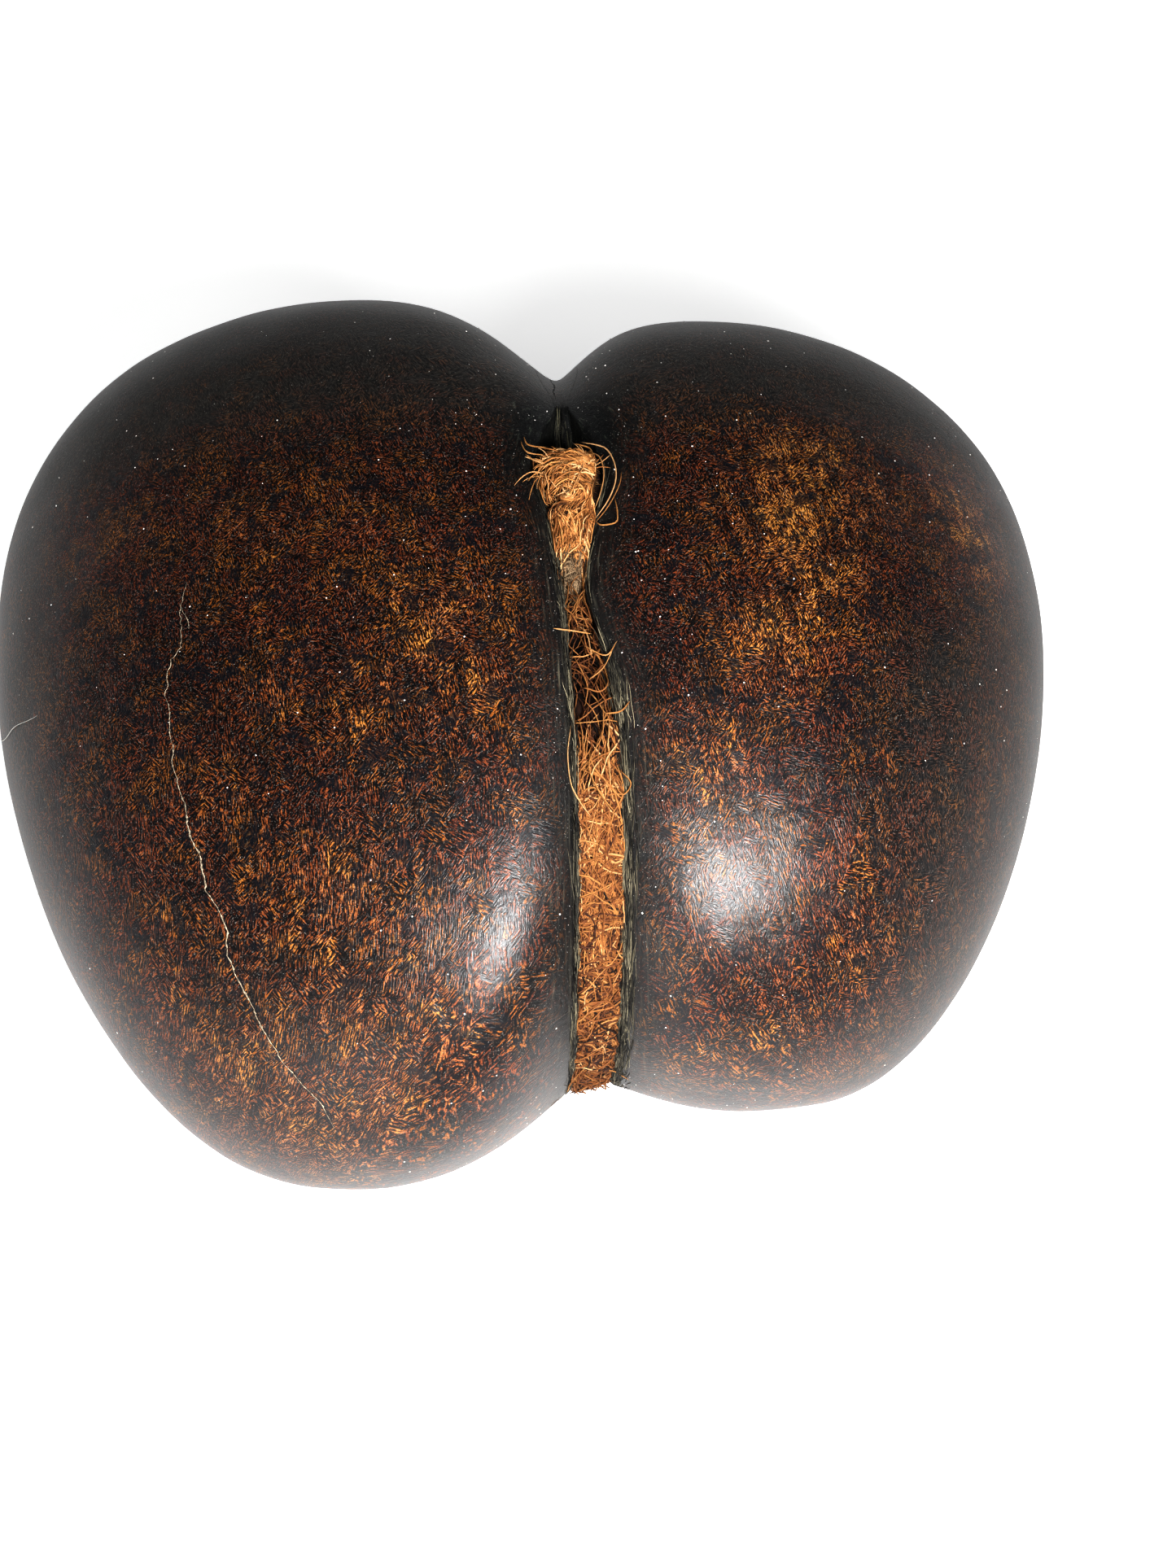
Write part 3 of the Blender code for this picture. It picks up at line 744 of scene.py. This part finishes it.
# Stretches of the mat: how many strands, between which angles, how long in mm, how much each turns
# and curls at a step, the spread of headings, the thickness, and the tone and its spread. Tones run
# from 0, dark brown, to 1, pale tan.
MAT_ZONES = {
    "fibre_front": dict(count=1000, angles=(-50.0, 4.0), length=(10.0, 24.0), turn=0.1, curl=0.06,
                        spread=0.3, radius=(0.18, 0.28), tone=(0.44, 0.2), depth=2.6),
    "fibre_lower": dict(count=1700, angles=(-6.0, 31.0), length=(11.0, 24.0), turn=0.1, curl=0.24,
                        spread=0.6, radius=(0.17, 0.28), tone=(0.45, 0.19), depth=2.6),
    "fibre_upper": dict(count=1050, angles=(28.0, 47.0), length=(10.0, 24.0), turn=0.15, curl=0.12,
                        spread=0.33, radius=(0.18, 0.3), tone=(0.58, 0.18), depth=3.0),
    "fibre_over": dict(count=120, angles=(-8.0, 50.0), length=(10.0, 22.0), turn=0.12, curl=0.05,
                       spread=0.16, radius=(0.18, 0.25), tone=(0.68, 0.12), depth=0.5),
}
MAT_POINTS = 14
MAT_ARCH = 0.8

# The other strands: how many, places along each, between which angles, length or lift in mm, the
# thickness, and the tone and its spread.
TUFT = dict(count=1150, points=13, angles=(86.5, 110.5), length=(6.0, 17.0), depth=2.6, arch=1.3,
            radius=(0.15, 0.27), tone=(0.68, 0.15), stray=0.55, turn=0.13)
FRINGE = dict(count=48, points=13, angle=103.0, around=(-0.4, 3.3), length=(3.0, 7.5), lift=(0.4, 2.6),
              radius=(0.1, 0.19), tone=(0.72, 0.14))
FLUFF = dict(count=260, points=9, angles=(76.0, 82.5), length=(3.0, 8.0), depth=1.8, lift=1.3, arch=0.5,
             radius=(0.07, 0.14), tone=(0.36, 0.22))
SPARSE = dict(count=100, points=12, angles=(53.0, 80.0), length=(8.0, 19.0), depth=6.5, slope=(-3.0, 1.5),
              radius=(0.15, 0.25), tone=(0.64, 0.12))
FRAY = dict(count=90, points=8, angles=(-16.0, 2.0), length=(5.0, 12.0), lift=(0.3, 2.6),
            radius=(0.14, 0.24), tone=(0.5, 0.15))
LOOPS = dict(points=20, radius=(0.18, 0.25), tone=(0.72, 0.08))
RIM_FIBRE = dict(points=8, length=(4.0, 14.0), radius=(0.07, 0.14), tone=(0.36, 0.2))
SLIVERS = dict(count=110, points=5, angles=(111.0, 123.0), reach=(1.0, 4.0), radius=(0.08, 0.2),
               tone=(0.35, 0.2))
SHADE_BY_DEPTH, LAYER_LEAN = 0.19, 1.3
ARCH_ANGLE, ARCH_X, TUFT_GAP = 97.0, -0.8, 2.2


def make_mat(finish):
    """The dense mat: combed in front, curly in the middle, looser above, and long strands over it."""
    for index, (name, zone) in enumerate(MAT_ZONES.items()):
        rng = np.random.default_rng(SEED + index)
        count, arc = zone["count"], roots(rng, zone)
        x = rng.uniform(-1.0, 1.0, count) * (half_at(arc) - WALL_GAP)
        heading = both_ways(rng, zone["spread"], count)
        length = rng.uniform(*zone["length"], count)
        along, across = wander(rng, count, arc, x, heading, length, MAT_POINTS, zone["turn"], zone["curl"])
        layer = -zone["depth"] * rng.random(count) ** LAYER_LEAN
        paths = laid(along, across, layered(rng, layer, MAT_POINTS, MAT_ARCH))
        draw(name, rng, paths, zone, finish, SHADE_BY_DEPTH * layer)


def make_tuft(finish):
    """The tuft in the pit: strands arch over its top and draw together towards the pinch."""
    rng = np.random.default_rng(SEED + 10)
    count, points = TUFT["count"], TUFT["points"]
    first, last = map(arc_of, TUFT["angles"])
    arc = first + (last - first) * rng.random(count) ** 0.8
    step = rng.uniform(*TUFT["length"], count) / (points - 1)
    along, across = np.empty((2, count, points))
    along[:, 0] = arc
    across[:, 0] = rng.uniform(-1.0, 1.0, count) * (half_at(arc) - WALL_GAP)
    stray = rng.normal(0.0, TUFT["stray"], count)
    for index in range(1, points):
        stray += rng.normal(0.0, TUFT["turn"], count)
        up = along[:, index - 1] - arc_of(ARCH_ANGLE)
        out = across[:, index - 1] - ARCH_X
        pull = smooth_step((up + 5.0) / 7.0)
        converge = math.pi + 0.05 * out
        turn_round = np.arctan2(up, -out)
        heading = stray + np.arctan2(pull * np.sin(turn_round) + (1.0 - pull) * np.sin(converge),
                                     pull * np.cos(turn_round) + (1.0 - pull) * np.cos(converge))
        along[:, index] = along[:, index - 1] + step * np.cos(heading)
        across[:, index] = across[:, index - 1] + step * np.sin(heading)
        limit = half_at(along[:, index])
        across[:, index] = np.clip(across[:, index], -limit, limit - TUFT_GAP * pull)
    layer = -TUFT["depth"] * rng.random(count) ** LAYER_LEAN
    paths = laid(along, across, layered(rng, layer, points, TUFT["arch"]))
    tone = rng.normal(*TUFT["tone"], count) + SHADE_BY_DEPTH * layer
    tubes("fibre_tuft", paths, rng.uniform(*TUFT["radius"], count), tone, finish, "husk_fibre")
    make_fringe(rng, finish)


def make_fringe(rng, finish):
    """Strands that stand up and out round the tuft's top."""
    count, t = FRINGE["count"], run_of(FRINGE["points"])
    turn = rng.uniform(*FRINGE["around"], count)
    start_along = arc_of(FRINGE["angle"]) + 4.0 * np.sin(turn)
    start_across = ARCH_X + 5.0 * np.cos(turn)
    out = (turn + rng.normal(0.5, 0.5, count))[:, None]
    reach = rng.uniform(*FRINGE["length"], count)[:, None] * t
    bend = rng.normal(0.5, 0.5, count)[:, None] * reach * t
    along = start_along[:, None] + reach * np.sin(out) + bend * np.cos(out)
    across = start_across[:, None] + reach * np.cos(out) - bend * np.sin(out)
    height = 0.6 + rng.uniform(*FRINGE["lift"], count)[:, None] * np.sin(t * math.pi * 0.75)
    draw("fibre_fringe", rng, in_groove(angle_at(along), across, height), FRINGE, finish)


def make_fluff(finish):
    """Fine weathered fluff where the tuft runs out, above the pinch."""
    rng = np.random.default_rng(SEED + 15)
    count, points, arc = FLUFF["count"], FLUFF["points"], roots(rng, FLUFF)
    x = rng.normal(0.3, 1.6, count)
    heading = rng.normal(0.0, 0.5, count)
    length = rng.uniform(*FLUFF["length"], count)
    along, across = wander(rng, count, arc, x, heading, length, points, 0.3, 0.2, -0.8)
    layer = FLUFF["lift"] - FLUFF["depth"] * rng.random(count)
    draw("fibre_fluff", rng, laid(along, across, layered(rng, layer, points, FLUFF["arch"])), FLUFF, finish)


def make_sparse(finish):
    """Single strands over the dark of the sinus, between the tuft and the dense mat."""
    rng = np.random.default_rng(SEED + 20)
    count, points, arc = SPARSE["count"], SPARSE["points"], roots(rng, SPARSE)
    x = rng.uniform(-0.95, 0.95, count) * half_at(arc)
    heading = both_ways(rng, 0.5, count)
    length = rng.uniform(*SPARSE["length"], count)
    along, across = wander(rng, count, arc, x, heading, length, points, 0.2, 0.1)
    t = run_of(points)
    deep = SPARSE["depth"] * rng.random(count) ** 0.9
    slope = rng.uniform(*SPARSE["slope"], count)[:, None]
    height = -0.4 - deep[:, None] + slope * (t - 0.5) - 1.5 * (2.0 * t - 1.0) ** 6
    # Strands deeper in the sinus get a darker tone: painted shade.
    draw("fibre_sparse", rng, in_groove(angle_at(along), across, height), SPARSE, finish, -0.05 * deep)


def make_fray(finish):
    """The mat's frayed end, which hangs out of the sinus between the lobes' ends."""
    rng = np.random.default_rng(SEED + 25)
    count, t, arc = FRAY["count"], run_of(FRAY["points"]), roots(rng, FRAY)
    x = rng.uniform(-0.95, 0.8, count) * half_at(arc)
    reach = rng.uniform(*FRAY["length"], count)[:, None] * t
    turn = rng.normal(0.15, 0.25, count)[:, None] + rng.normal(0.0, 0.4, (count, 1)) * t
    degrees = angle_at(arc[:, None] - reach * np.cos(turn))
    height = -0.8 + rng.uniform(*FRAY["lift"], count)[:, None] * t ** 1.5
    draw("fibre_fray", rng, in_groove(degrees, x[:, None] - reach * np.sin(turn), height), FRAY, finish)


# Strands that stand out of the mat, drawn through places (angle, distance across, height) in mm.
LOOSE_STRANDS = (
    ((111.0, 3.7, 1.5), (108.0, 9.2, 3.0), (103.2, 11.3, 4.0), (99.2, 11.3, 3.6), (95.8, 9.2, 2.4),
     (93.0, 5.9, 0.8)),
    ((108.5, 6.4, 1.0), (105.8, 8.1, 2.4), (101.8, 8.6, 2.8), (98.3, 7.5, 2.0), (94.2, 5.3, 0.8)),
    ((101.5, 13.0, 2.6), (99.0, 12.4, 2.8), (96.5, 10.8, 2.4), (94.2, 8.6, 1.6), (92.2, 5.9, 0.6)),
    ((96.0, 10.8, 2.2), (92.5, 11.3, 2.0), (90.8, 10.8, 1.6), (91.0, 7.5, 1.0), (92.2, 5.9, 0.6)),
    ((109.2, -5.0, 1.8), (109.5, -8.2, 1.8), (110.2, -10.1, 1.4), (112.2, -10.8, 1.2)),
    ((106.8, -6.3, 2.4), (107.3, -10.1, 2.2), (109.2, -11.3, 1.6), (111.0, -11.6, 1.2)),
    ((104.0, -6.3, 3.0), (105.0, -8.8, 2.8), (106.8, -10.7, 2.0)),
    ((104.0, 4.8, 3.0), (106.5, 6.2, 2.8), (109.0, 5.4, 2.0), (110.5, 1.8, 1.6)),
    ((66.5, -0.2, -0.5), (64.5, 4.3, 1.6), (66.8, 7.8, 2.0)),
    ((60.5, -0.7, -0.5), (62.5, 3.3, 1.5), (66.0, 6.8, 1.6)),
    ((69.5, -6.8, 0.6), (69.0, -2.2, 1.4), (68.6, 2.3, 0.4)),
    ((55.0, 1.8, 0.8), (55.3, 5.8, 1.4), (56.8, 8.3, 1.2)),
    ((45.5, 2.8, 0.8), (43.6, 5.2, 1.3), (45.0, 7.2, 1.0), (46.6, 5.0, 0.8)),
    ((53.5, -6.3, 0.2), (49.5, -7.5, 0.5), (45.5, -7.0, 0.4), (43.0, -5.0, 0.5), (41.0, -2.5, 0.4)),
    ((57.0, 1.8, 1.2), (52.0, 1.0, 1.4), (48.0, -2.6, 1.2), (44.0, -0.2, 1.0), (41.0, 3.8, 1.0)),
)


def smooth_through(places, points):
    """Evenly spread places on a smooth line through the given ones."""
    places = np.array(places, float)
    padded = np.vstack([2 * places[0] - places[1], places, 2 * places[-1] - places[-2]])
    t = np.linspace(0.0, len(places) - 1.0, points)
    index = np.minimum(t.astype(int), len(places) - 2)
    t = (t - index)[:, None]
    a, b, c, d = (padded[index + k] for k in range(4))
    cubic = (3 * b - a - 3 * c + d) * t ** 3
    return 0.5 * (2 * b + (c - a) * t + (2 * a - 5 * b + 4 * c - d) * t ** 2 + cubic)


def make_loose(finish):
    """Loops and hooked ends that stand clear of the mat."""
    lines = [smooth_through(places, LOOPS["points"]) for places in LOOSE_STRANDS]
    paths = np.array([in_groove(*line.T) for line in lines])
    draw("fibre_loops", np.random.default_rng(SEED + 30), paths, LOOPS, finish)


# Dried fibres of the shell's own edge: side, angles, count, and how far out they lie, in mm.
RIMS = (
    dict(side=-1, angles=(-48.0, 100.0), count=600, out=-0.25, spread=0.4),
    dict(side=1, angles=(-48.0, 61.0), count=1200, out=-0.2, spread=1.0),
    dict(side=1, angles=(61.0, 100.0), count=60, out=0.0, spread=0.3),
)


def make_rims(finish):
    """Dried grey-green fibres along both rims of the sinus."""
    for index, rim in enumerate(RIMS):
        rng = np.random.default_rng(SEED + 40 + index)
        count, t, arc = rim["count"], run_of(RIM_FIBRE["points"]), roots(rng, rim)
        along = arc[:, None] + rng.uniform(*RIM_FIBRE["length"], count)[:, None] * t
        apart = rng.normal(rim["out"], rim["spread"], count) + rng.exponential(0.25, count)
        out = (apart[:, None] + rng.normal(0.0, 0.7, (count, 1)) * t
               + 0.12 * np.sin(t * rng.uniform(5.0, 11.0, count)[:, None]))
        across = rim["side"] * (half_at(along) + out)
        height = np.where(out < 0, out * 1.2, 0.0) + rng.uniform(-0.08, 0.2, count)[:, None]
        clusters = 0.2 * np.sin(arc * 0.31 + index) + 0.16 * np.sin(arc * 1.1)
        paths = in_groove(angle_at(along), across, height)
        draw("rim_fibre_%d" % (index + 1), rng, paths, RIM_FIBRE, finish, clusters)


def make_splinters(finish):
    """Pale slivers of shell on the slope at the end of the pit."""
    rng = np.random.default_rng(SEED + 50)
    count, t = SLIVERS["count"], run_of(SLIVERS["points"])
    start = rng.uniform(*SLIVERS["angles"], count)
    x = rng.uniform(-0.85, 0.85, count) * slot_half_width(np.radians(start))
    degrees = start[:, None] + rng.uniform(*SLIVERS["reach"], count)[:, None] * t
    across = x[:, None] * (1.0 - 0.3 * t) + rng.normal(0.0, 0.3, (count, 1)) * t
    height = 0.35 - slot_depth(np.radians(degrees)) * 0.97
    draw("pit_splinters", rng, in_groove(degrees, across, height), SLIVERS, finish, node=None)


# The crack down the larger lobe and the closed seam behind the pit: (angle, distance across).
CRACK = (
    (77.8, -97.7), (70.8, -99.7), (64.5, -99.2), (58.8, -101.7), (53.0, -102.7), (47.8, -101.7),
    (42.2, -100.2), (38.5, -98.2), (34.5, -96.1), (32.5, -93.1), (29.2, -92.5), (28.0, -89.5),
    (25.5, -87.4), (23.2, -86.8), (21.2, -84.1), (19.5, -81.9), (17.0, -77.6), (15.2, -73.7),
    (13.8, -69.7), (12.5, -66.3), (9.8, -64.0),
)
CRACK_BRANCH = ((72.5, -99.4), (70.0, -97.8), (67.0, -97.2))
SEAMS = (((147.2, -2.6), (139.0, -1.3), (130.3, -1.3)),
         ((128.5, 0.3), (122.0, 0.3), (116.5, 0.3), (112.0, 0.0)))
# Width of the crack along its run, as a share of its widest.
CRACK_WIDTHS = ((0.0, 0.2, 0.45, 0.6, 0.85, 1.0), (0.3, 0.35, 0.5, 1.0, 0.95, 0.5))
RIBBON_STEP, RIBBON_EDGE = 0.35, -0.05


def make_ribbon(name, places, finish, width, lift, ragged, seed, widths=((0.0, 1.0), (1.0, 1.0))):
    """A thin ragged line on the shell: half width and lift in mm, ragged is its sideways jitter."""
    rng = np.random.default_rng(seed)
    ends = np.array(places, float)
    step = np.hypot(np.diff(ends[:, 0]) * 1.6, np.diff(ends[:, 1]))
    run = np.concatenate([[0.0], np.cumsum(step)])
    count = int(run[-1] / RIBBON_STEP)
    at = np.linspace(0.0, run[-1], count)
    jitter = 0.0
    for gap, share in ((4.0, 1.0), (1.4, 0.4)):
        bends = int(run[-1] / gap) + 2
        stepped = rng.normal(0.0, ragged * share, bends)[(at / gap).astype(int)]
        sloping = np.interp(at / gap, np.arange(bends), rng.normal(0.0, ragged * share, bends))
        jitter = jitter + (stepped * 0.6 + sloping)
    degrees = np.interp(at, run, ends[:, 0])
    across = np.interp(at, run, ends[:, 1])
    fade = np.clip(np.minimum(at, run[-1] - at) / 5.0, 0.15, 1.0)
    half = width * fade * np.exp(rng.normal(0.0, 0.4, count)) * np.interp(at / run[-1], *widths)
    across = across + jitter * fade
    rows = []
    for share, height in ((-1.0, RIBBON_EDGE), (-0.4, lift), (0.4, lift), (1.0, RIBBON_EDGE)):
        points, _ = on_surface(degrees, across + share * half, height)
        rows.append(points + rng.normal(0.0, 0.03 * MM, points.shape))
    grid = np.stack(rows, axis=1)
    mesh = mesh_of(name, grid.reshape(-1, 3), quads=grid_faces(count, 4, closed=False))
    finish_piece(name, mesh, finish)


def make_cracks():
    """The dried crack with its pale crumbling edges, and the dark seam behind the pit."""
    shadow = plain("crack_shadow", "#0a0605", 0.8, "#1c0f0a")
    crumb = plain("crack_crumb", "#6f6353", 0.95, "#c2b39b")
    seam = plain("seam_dark", "#050505", 0.7, "#0c0b0a")
    for index, (name, places) in enumerate((("crack", CRACK), ("crack_branch", CRACK_BRANCH))):
        make_ribbon(name + "_shadow", places, shadow, 0.5, 0.03, 0.4, SEED + 60 + index, CRACK_WIDTHS)
        make_ribbon(name + "_crumb", places, crumb, 0.26, 0.1, 0.4, SEED + 60 + index, CRACK_WIDTHS)
    for index, places in enumerate(SEAMS):
        make_ribbon("seam_%d" % (index + 1), places, seam, 0.3, 0.04, 0.2, SEED + 70 + index)


DUST_COUNT, DUST_NEAR, DUST_SPREAD = 1600, 700, 24.0
DUST_ANGLES, DUST_SIZES, DUST_ON_LEFT = (-25.0, 165.0), (0.07, 0.26), 0.54


def make_dust():
    """White specks of dust over the top of the shell, thicker beside the groove."""
    rng = np.random.default_rng(SEED + 80)
    degrees = rng.uniform(*DUST_ANGLES, DUST_COUNT)
    reach = np.where(rng.random(DUST_COUNT) < DUST_ON_LEFT, -LEFT["reach"], RIGHT["reach"])
    x = reach * rng.uniform(0.0, 0.93, DUST_COUNT)
    x[:DUST_NEAR] = rng.normal(0.0, DUST_SPREAD, DUST_NEAR)
    keep = np.abs(x) > slot_half_width(np.radians(degrees)) + 1.5
    degrees, x = degrees[keep], x[keep]
    smallest, more = DUST_SIZES
    size = (smallest + more * rng.random(len(x)) ** 4)[:, None] * MM
    points, normal = on_surface(degrees, x, 0.03)
    side = unit(np.cross(normal, np.array((0.3, 0.9, 0.1))))
    other = np.cross(normal, side)
    ways = (side, other, -side, -other, normal * 0.6, normal * -0.6)
    corners = np.stack([points + way * size for way in ways], axis=1)
    upper = [(index, (index + 1) % 4, 4) for index in range(4)]
    lower = [(second, first, 5) for first, second, _ in upper]
    triangles = (np.arange(len(points)) * 6)[:, None, None] + np.array(upper + lower)
    mesh = mesh_of("dust", corners.reshape(-1, 3), triangles=triangles.reshape(-1, 3))
    finish_piece("dust", mesh, plain("dust", "#cfcbc4", 0.9, "#f4f2ee"))


STRAY_HAIR = ((14.0, -155.6), (24.0, -151.0), (31.8, -146.7), (39.5, -139.1))


def make_hair():
    """One stray pale hair on the cheek of the larger lobe."""
    line = smooth_through(STRAY_HAIR, 24)
    points, _ = on_surface(line[:, 0], line[:, 1], 0.25)
    tubes("stray_hair", points[None], np.array([0.11]), np.array([0.5]), plain("pale_hair", "#d9d6cf", 0.6))


CORE_ANGLES, CORE_ROWS, CORE_AROUND = (-57.0, 115.0), 190, 22
CORE_GAP, CORE_BELOW, CORE_DEPTH, CORE_FLOOR, CORE_ROUNDNESS = 0.7, 1.9, 5.0, -9.0, 0.6


def make_core(finish):
    """The matted heart of the coir, just under its strands, in a dark tone that paints the shade in the
    gaps between them, darker still where the mat sinks.
    """
    rows, columns = CORE_ROWS, CORE_AROUND
    degrees = np.linspace(*CORE_ANGLES, rows)[:, None]
    turn = np.linspace(0.0, 2.0 * math.pi, columns, endpoint=False)[None, :]
    wide, tall = (np.sign(way) * np.abs(way) ** CORE_ROUNDNESS for way in (np.cos(turn), np.sin(turn)))
    x = (slot_half_width(np.radians(degrees)) - CORE_GAP) * wide
    top = mat_top(degrees, x) - CORE_BELOW
    low = np.minimum(mat_top(degrees, 0.0 * x) - CORE_DEPTH, CORE_FLOOR)
    paths = in_groove(degrees, x, low + (top - low) * (tall + 1.0) / 2.0)
    fans = [np.array([(base, base + i, base + i + 1) for i in range(1, columns - 1)])
            for base in (0, (rows - 1) * columns)]
    mesh = mesh_of("matted_core", paths.reshape(-1, 3), grid_faces(rows, columns), np.concatenate(fans))
    # Painted shade: the core is darker where the mat's top sinks.
    mark(mesh, "tone", np.clip(0.17 + 0.02 * mat_top(degrees, 0.0 * x), 0.0, 0.16))
    finish_piece("matted_core", mesh, finish, "husk_fibre")


# The room is pale near the floor and dim above, the card lies on a light table, and the picture is
# printed with deep shadows. A wide softbox and a window in front light the nut, and a small lamp by
# the camera makes the two highlights: name, place, size, power and whether it glints.
ROOM_TONES = ((0.0, "#9c9c9c"), (0.08, "#66676a"), (0.3, "#37383b"), (0.6, "#28292b"), (1.0, "#222324"))
TABLE_GLOW, CARD_HALF, CARD_GAP = 0.58, 3.0, 0.0002
LAMP_AIM = (0.0, 0.0, 0.08)
PRINT_GAMMA = 0.77
LAMPS = (
    ("softbox", (-0.3, -1.9, 2.7), 1.8, 58.0, False),
    ("window", (-0.8, -1.4, 0.45), 1.1, 12.0, True),
    ("flash", (0.095, -0.283, 0.417), 0.13, 3.3, True),
)


def make_stage():
    """The pale card, the room round it and the lamps."""
    corners = np.array([(-1, -1, 0), (1, -1, 0), (-1, 1, 0), (1, 1, 0)]) * CARD_HALF
    mesh = mesh_of("floor", corners, quads=grid_faces(2, 2, closed=False))
    mesh.materials.append(plain("pale_card", "#f4f4f3", 0.9, glow=TABLE_GLOW))
    floor = link_new("floor", mesh)
    floor.location.z = FLOOR_Z - CARD_GAP

    world = bpy.data.worlds.new("pale_room")
    world.use_nodes = True
    world.node_tree.nodes.clear()
    new = functools.partial(add, world.node_tree)
    height = new("SeparateXYZ", (new("TexCoord"),)).outputs["Z"]
    sky = new("ValToRGB", (height,), stops=ROOM_TONES)
    new("OutputWorld", (new("Background", (sky,)),))
    scene.world = world
    scene.view_settings.view_transform = "Standard"
    scene.view_settings.gamma = PRINT_GAMMA

    for name, lamp_place, size, power, shines in LAMPS:
        lamp = bpy.data.lights.new(name, "AREA")
        lamp.shape = "DISK"
        lamp.size = size
        lamp.energy = power
        made = link_new(name, lamp)
        made.location = lamp_place
        aim = Vector(LAMP_AIM) - made.location
        made.rotation_euler = aim.to_track_quat("-Z", "Y").to_euler()
        made.visible_glossy = shines
        made.visible_camera = False


def make_camera():
    """The camera, which looks down on the nut from the front."""
    azimuth, elevation, roll = map(math.radians, (CAMERA_AZIMUTH, CAMERA_ELEVATION, CAMERA_ROLL))
    back = Vector((math.sin(azimuth) * math.cos(elevation), -math.cos(azimuth) * math.cos(elevation),
                   math.sin(elevation)))
    right = Vector((math.cos(azimuth), math.sin(azimuth), 0.0))
    up = back.cross(right)
    place = right * AIM_RIGHT + up * AIM_UP + back * CAMERA_DISTANCE + Vector(OFFSET)
    rolled = right * math.cos(roll) + up * math.sin(roll)
    upright = up * math.cos(roll) - right * math.sin(roll)
    lens = bpy.data.cameras.new("camera")
    lens.sensor_width, lens.sensor_fit = 36.0, "AUTO"
    lens.lens = CAMERA_LENS
    lens.clip_start = 0.01
    scene.camera = link_new("camera", lens)
    turned = Matrix((rolled, upright, back)).transposed().to_4x4()
    scene.camera.matrix_world = Matrix.Translation(place * MM) @ turned


make_camera()
make_stage()
make_shell()
husk = coir("coir", COIR_TONES)
make_core(husk)
make_mat(husk)
make_tuft(coir("bleached_coir", TUFT_TONES))
make_sparse(husk)
make_fray(husk)
make_loose(husk)
make_fluff(coir("weathered_coir", FLUFF_TONES))
make_rims(coir("dried_rim_fibre", RIM_TONES))
make_splinters(coir("shell_splinter", SPLINTER_TONES))
make_cracks()
make_dust()
make_hair()
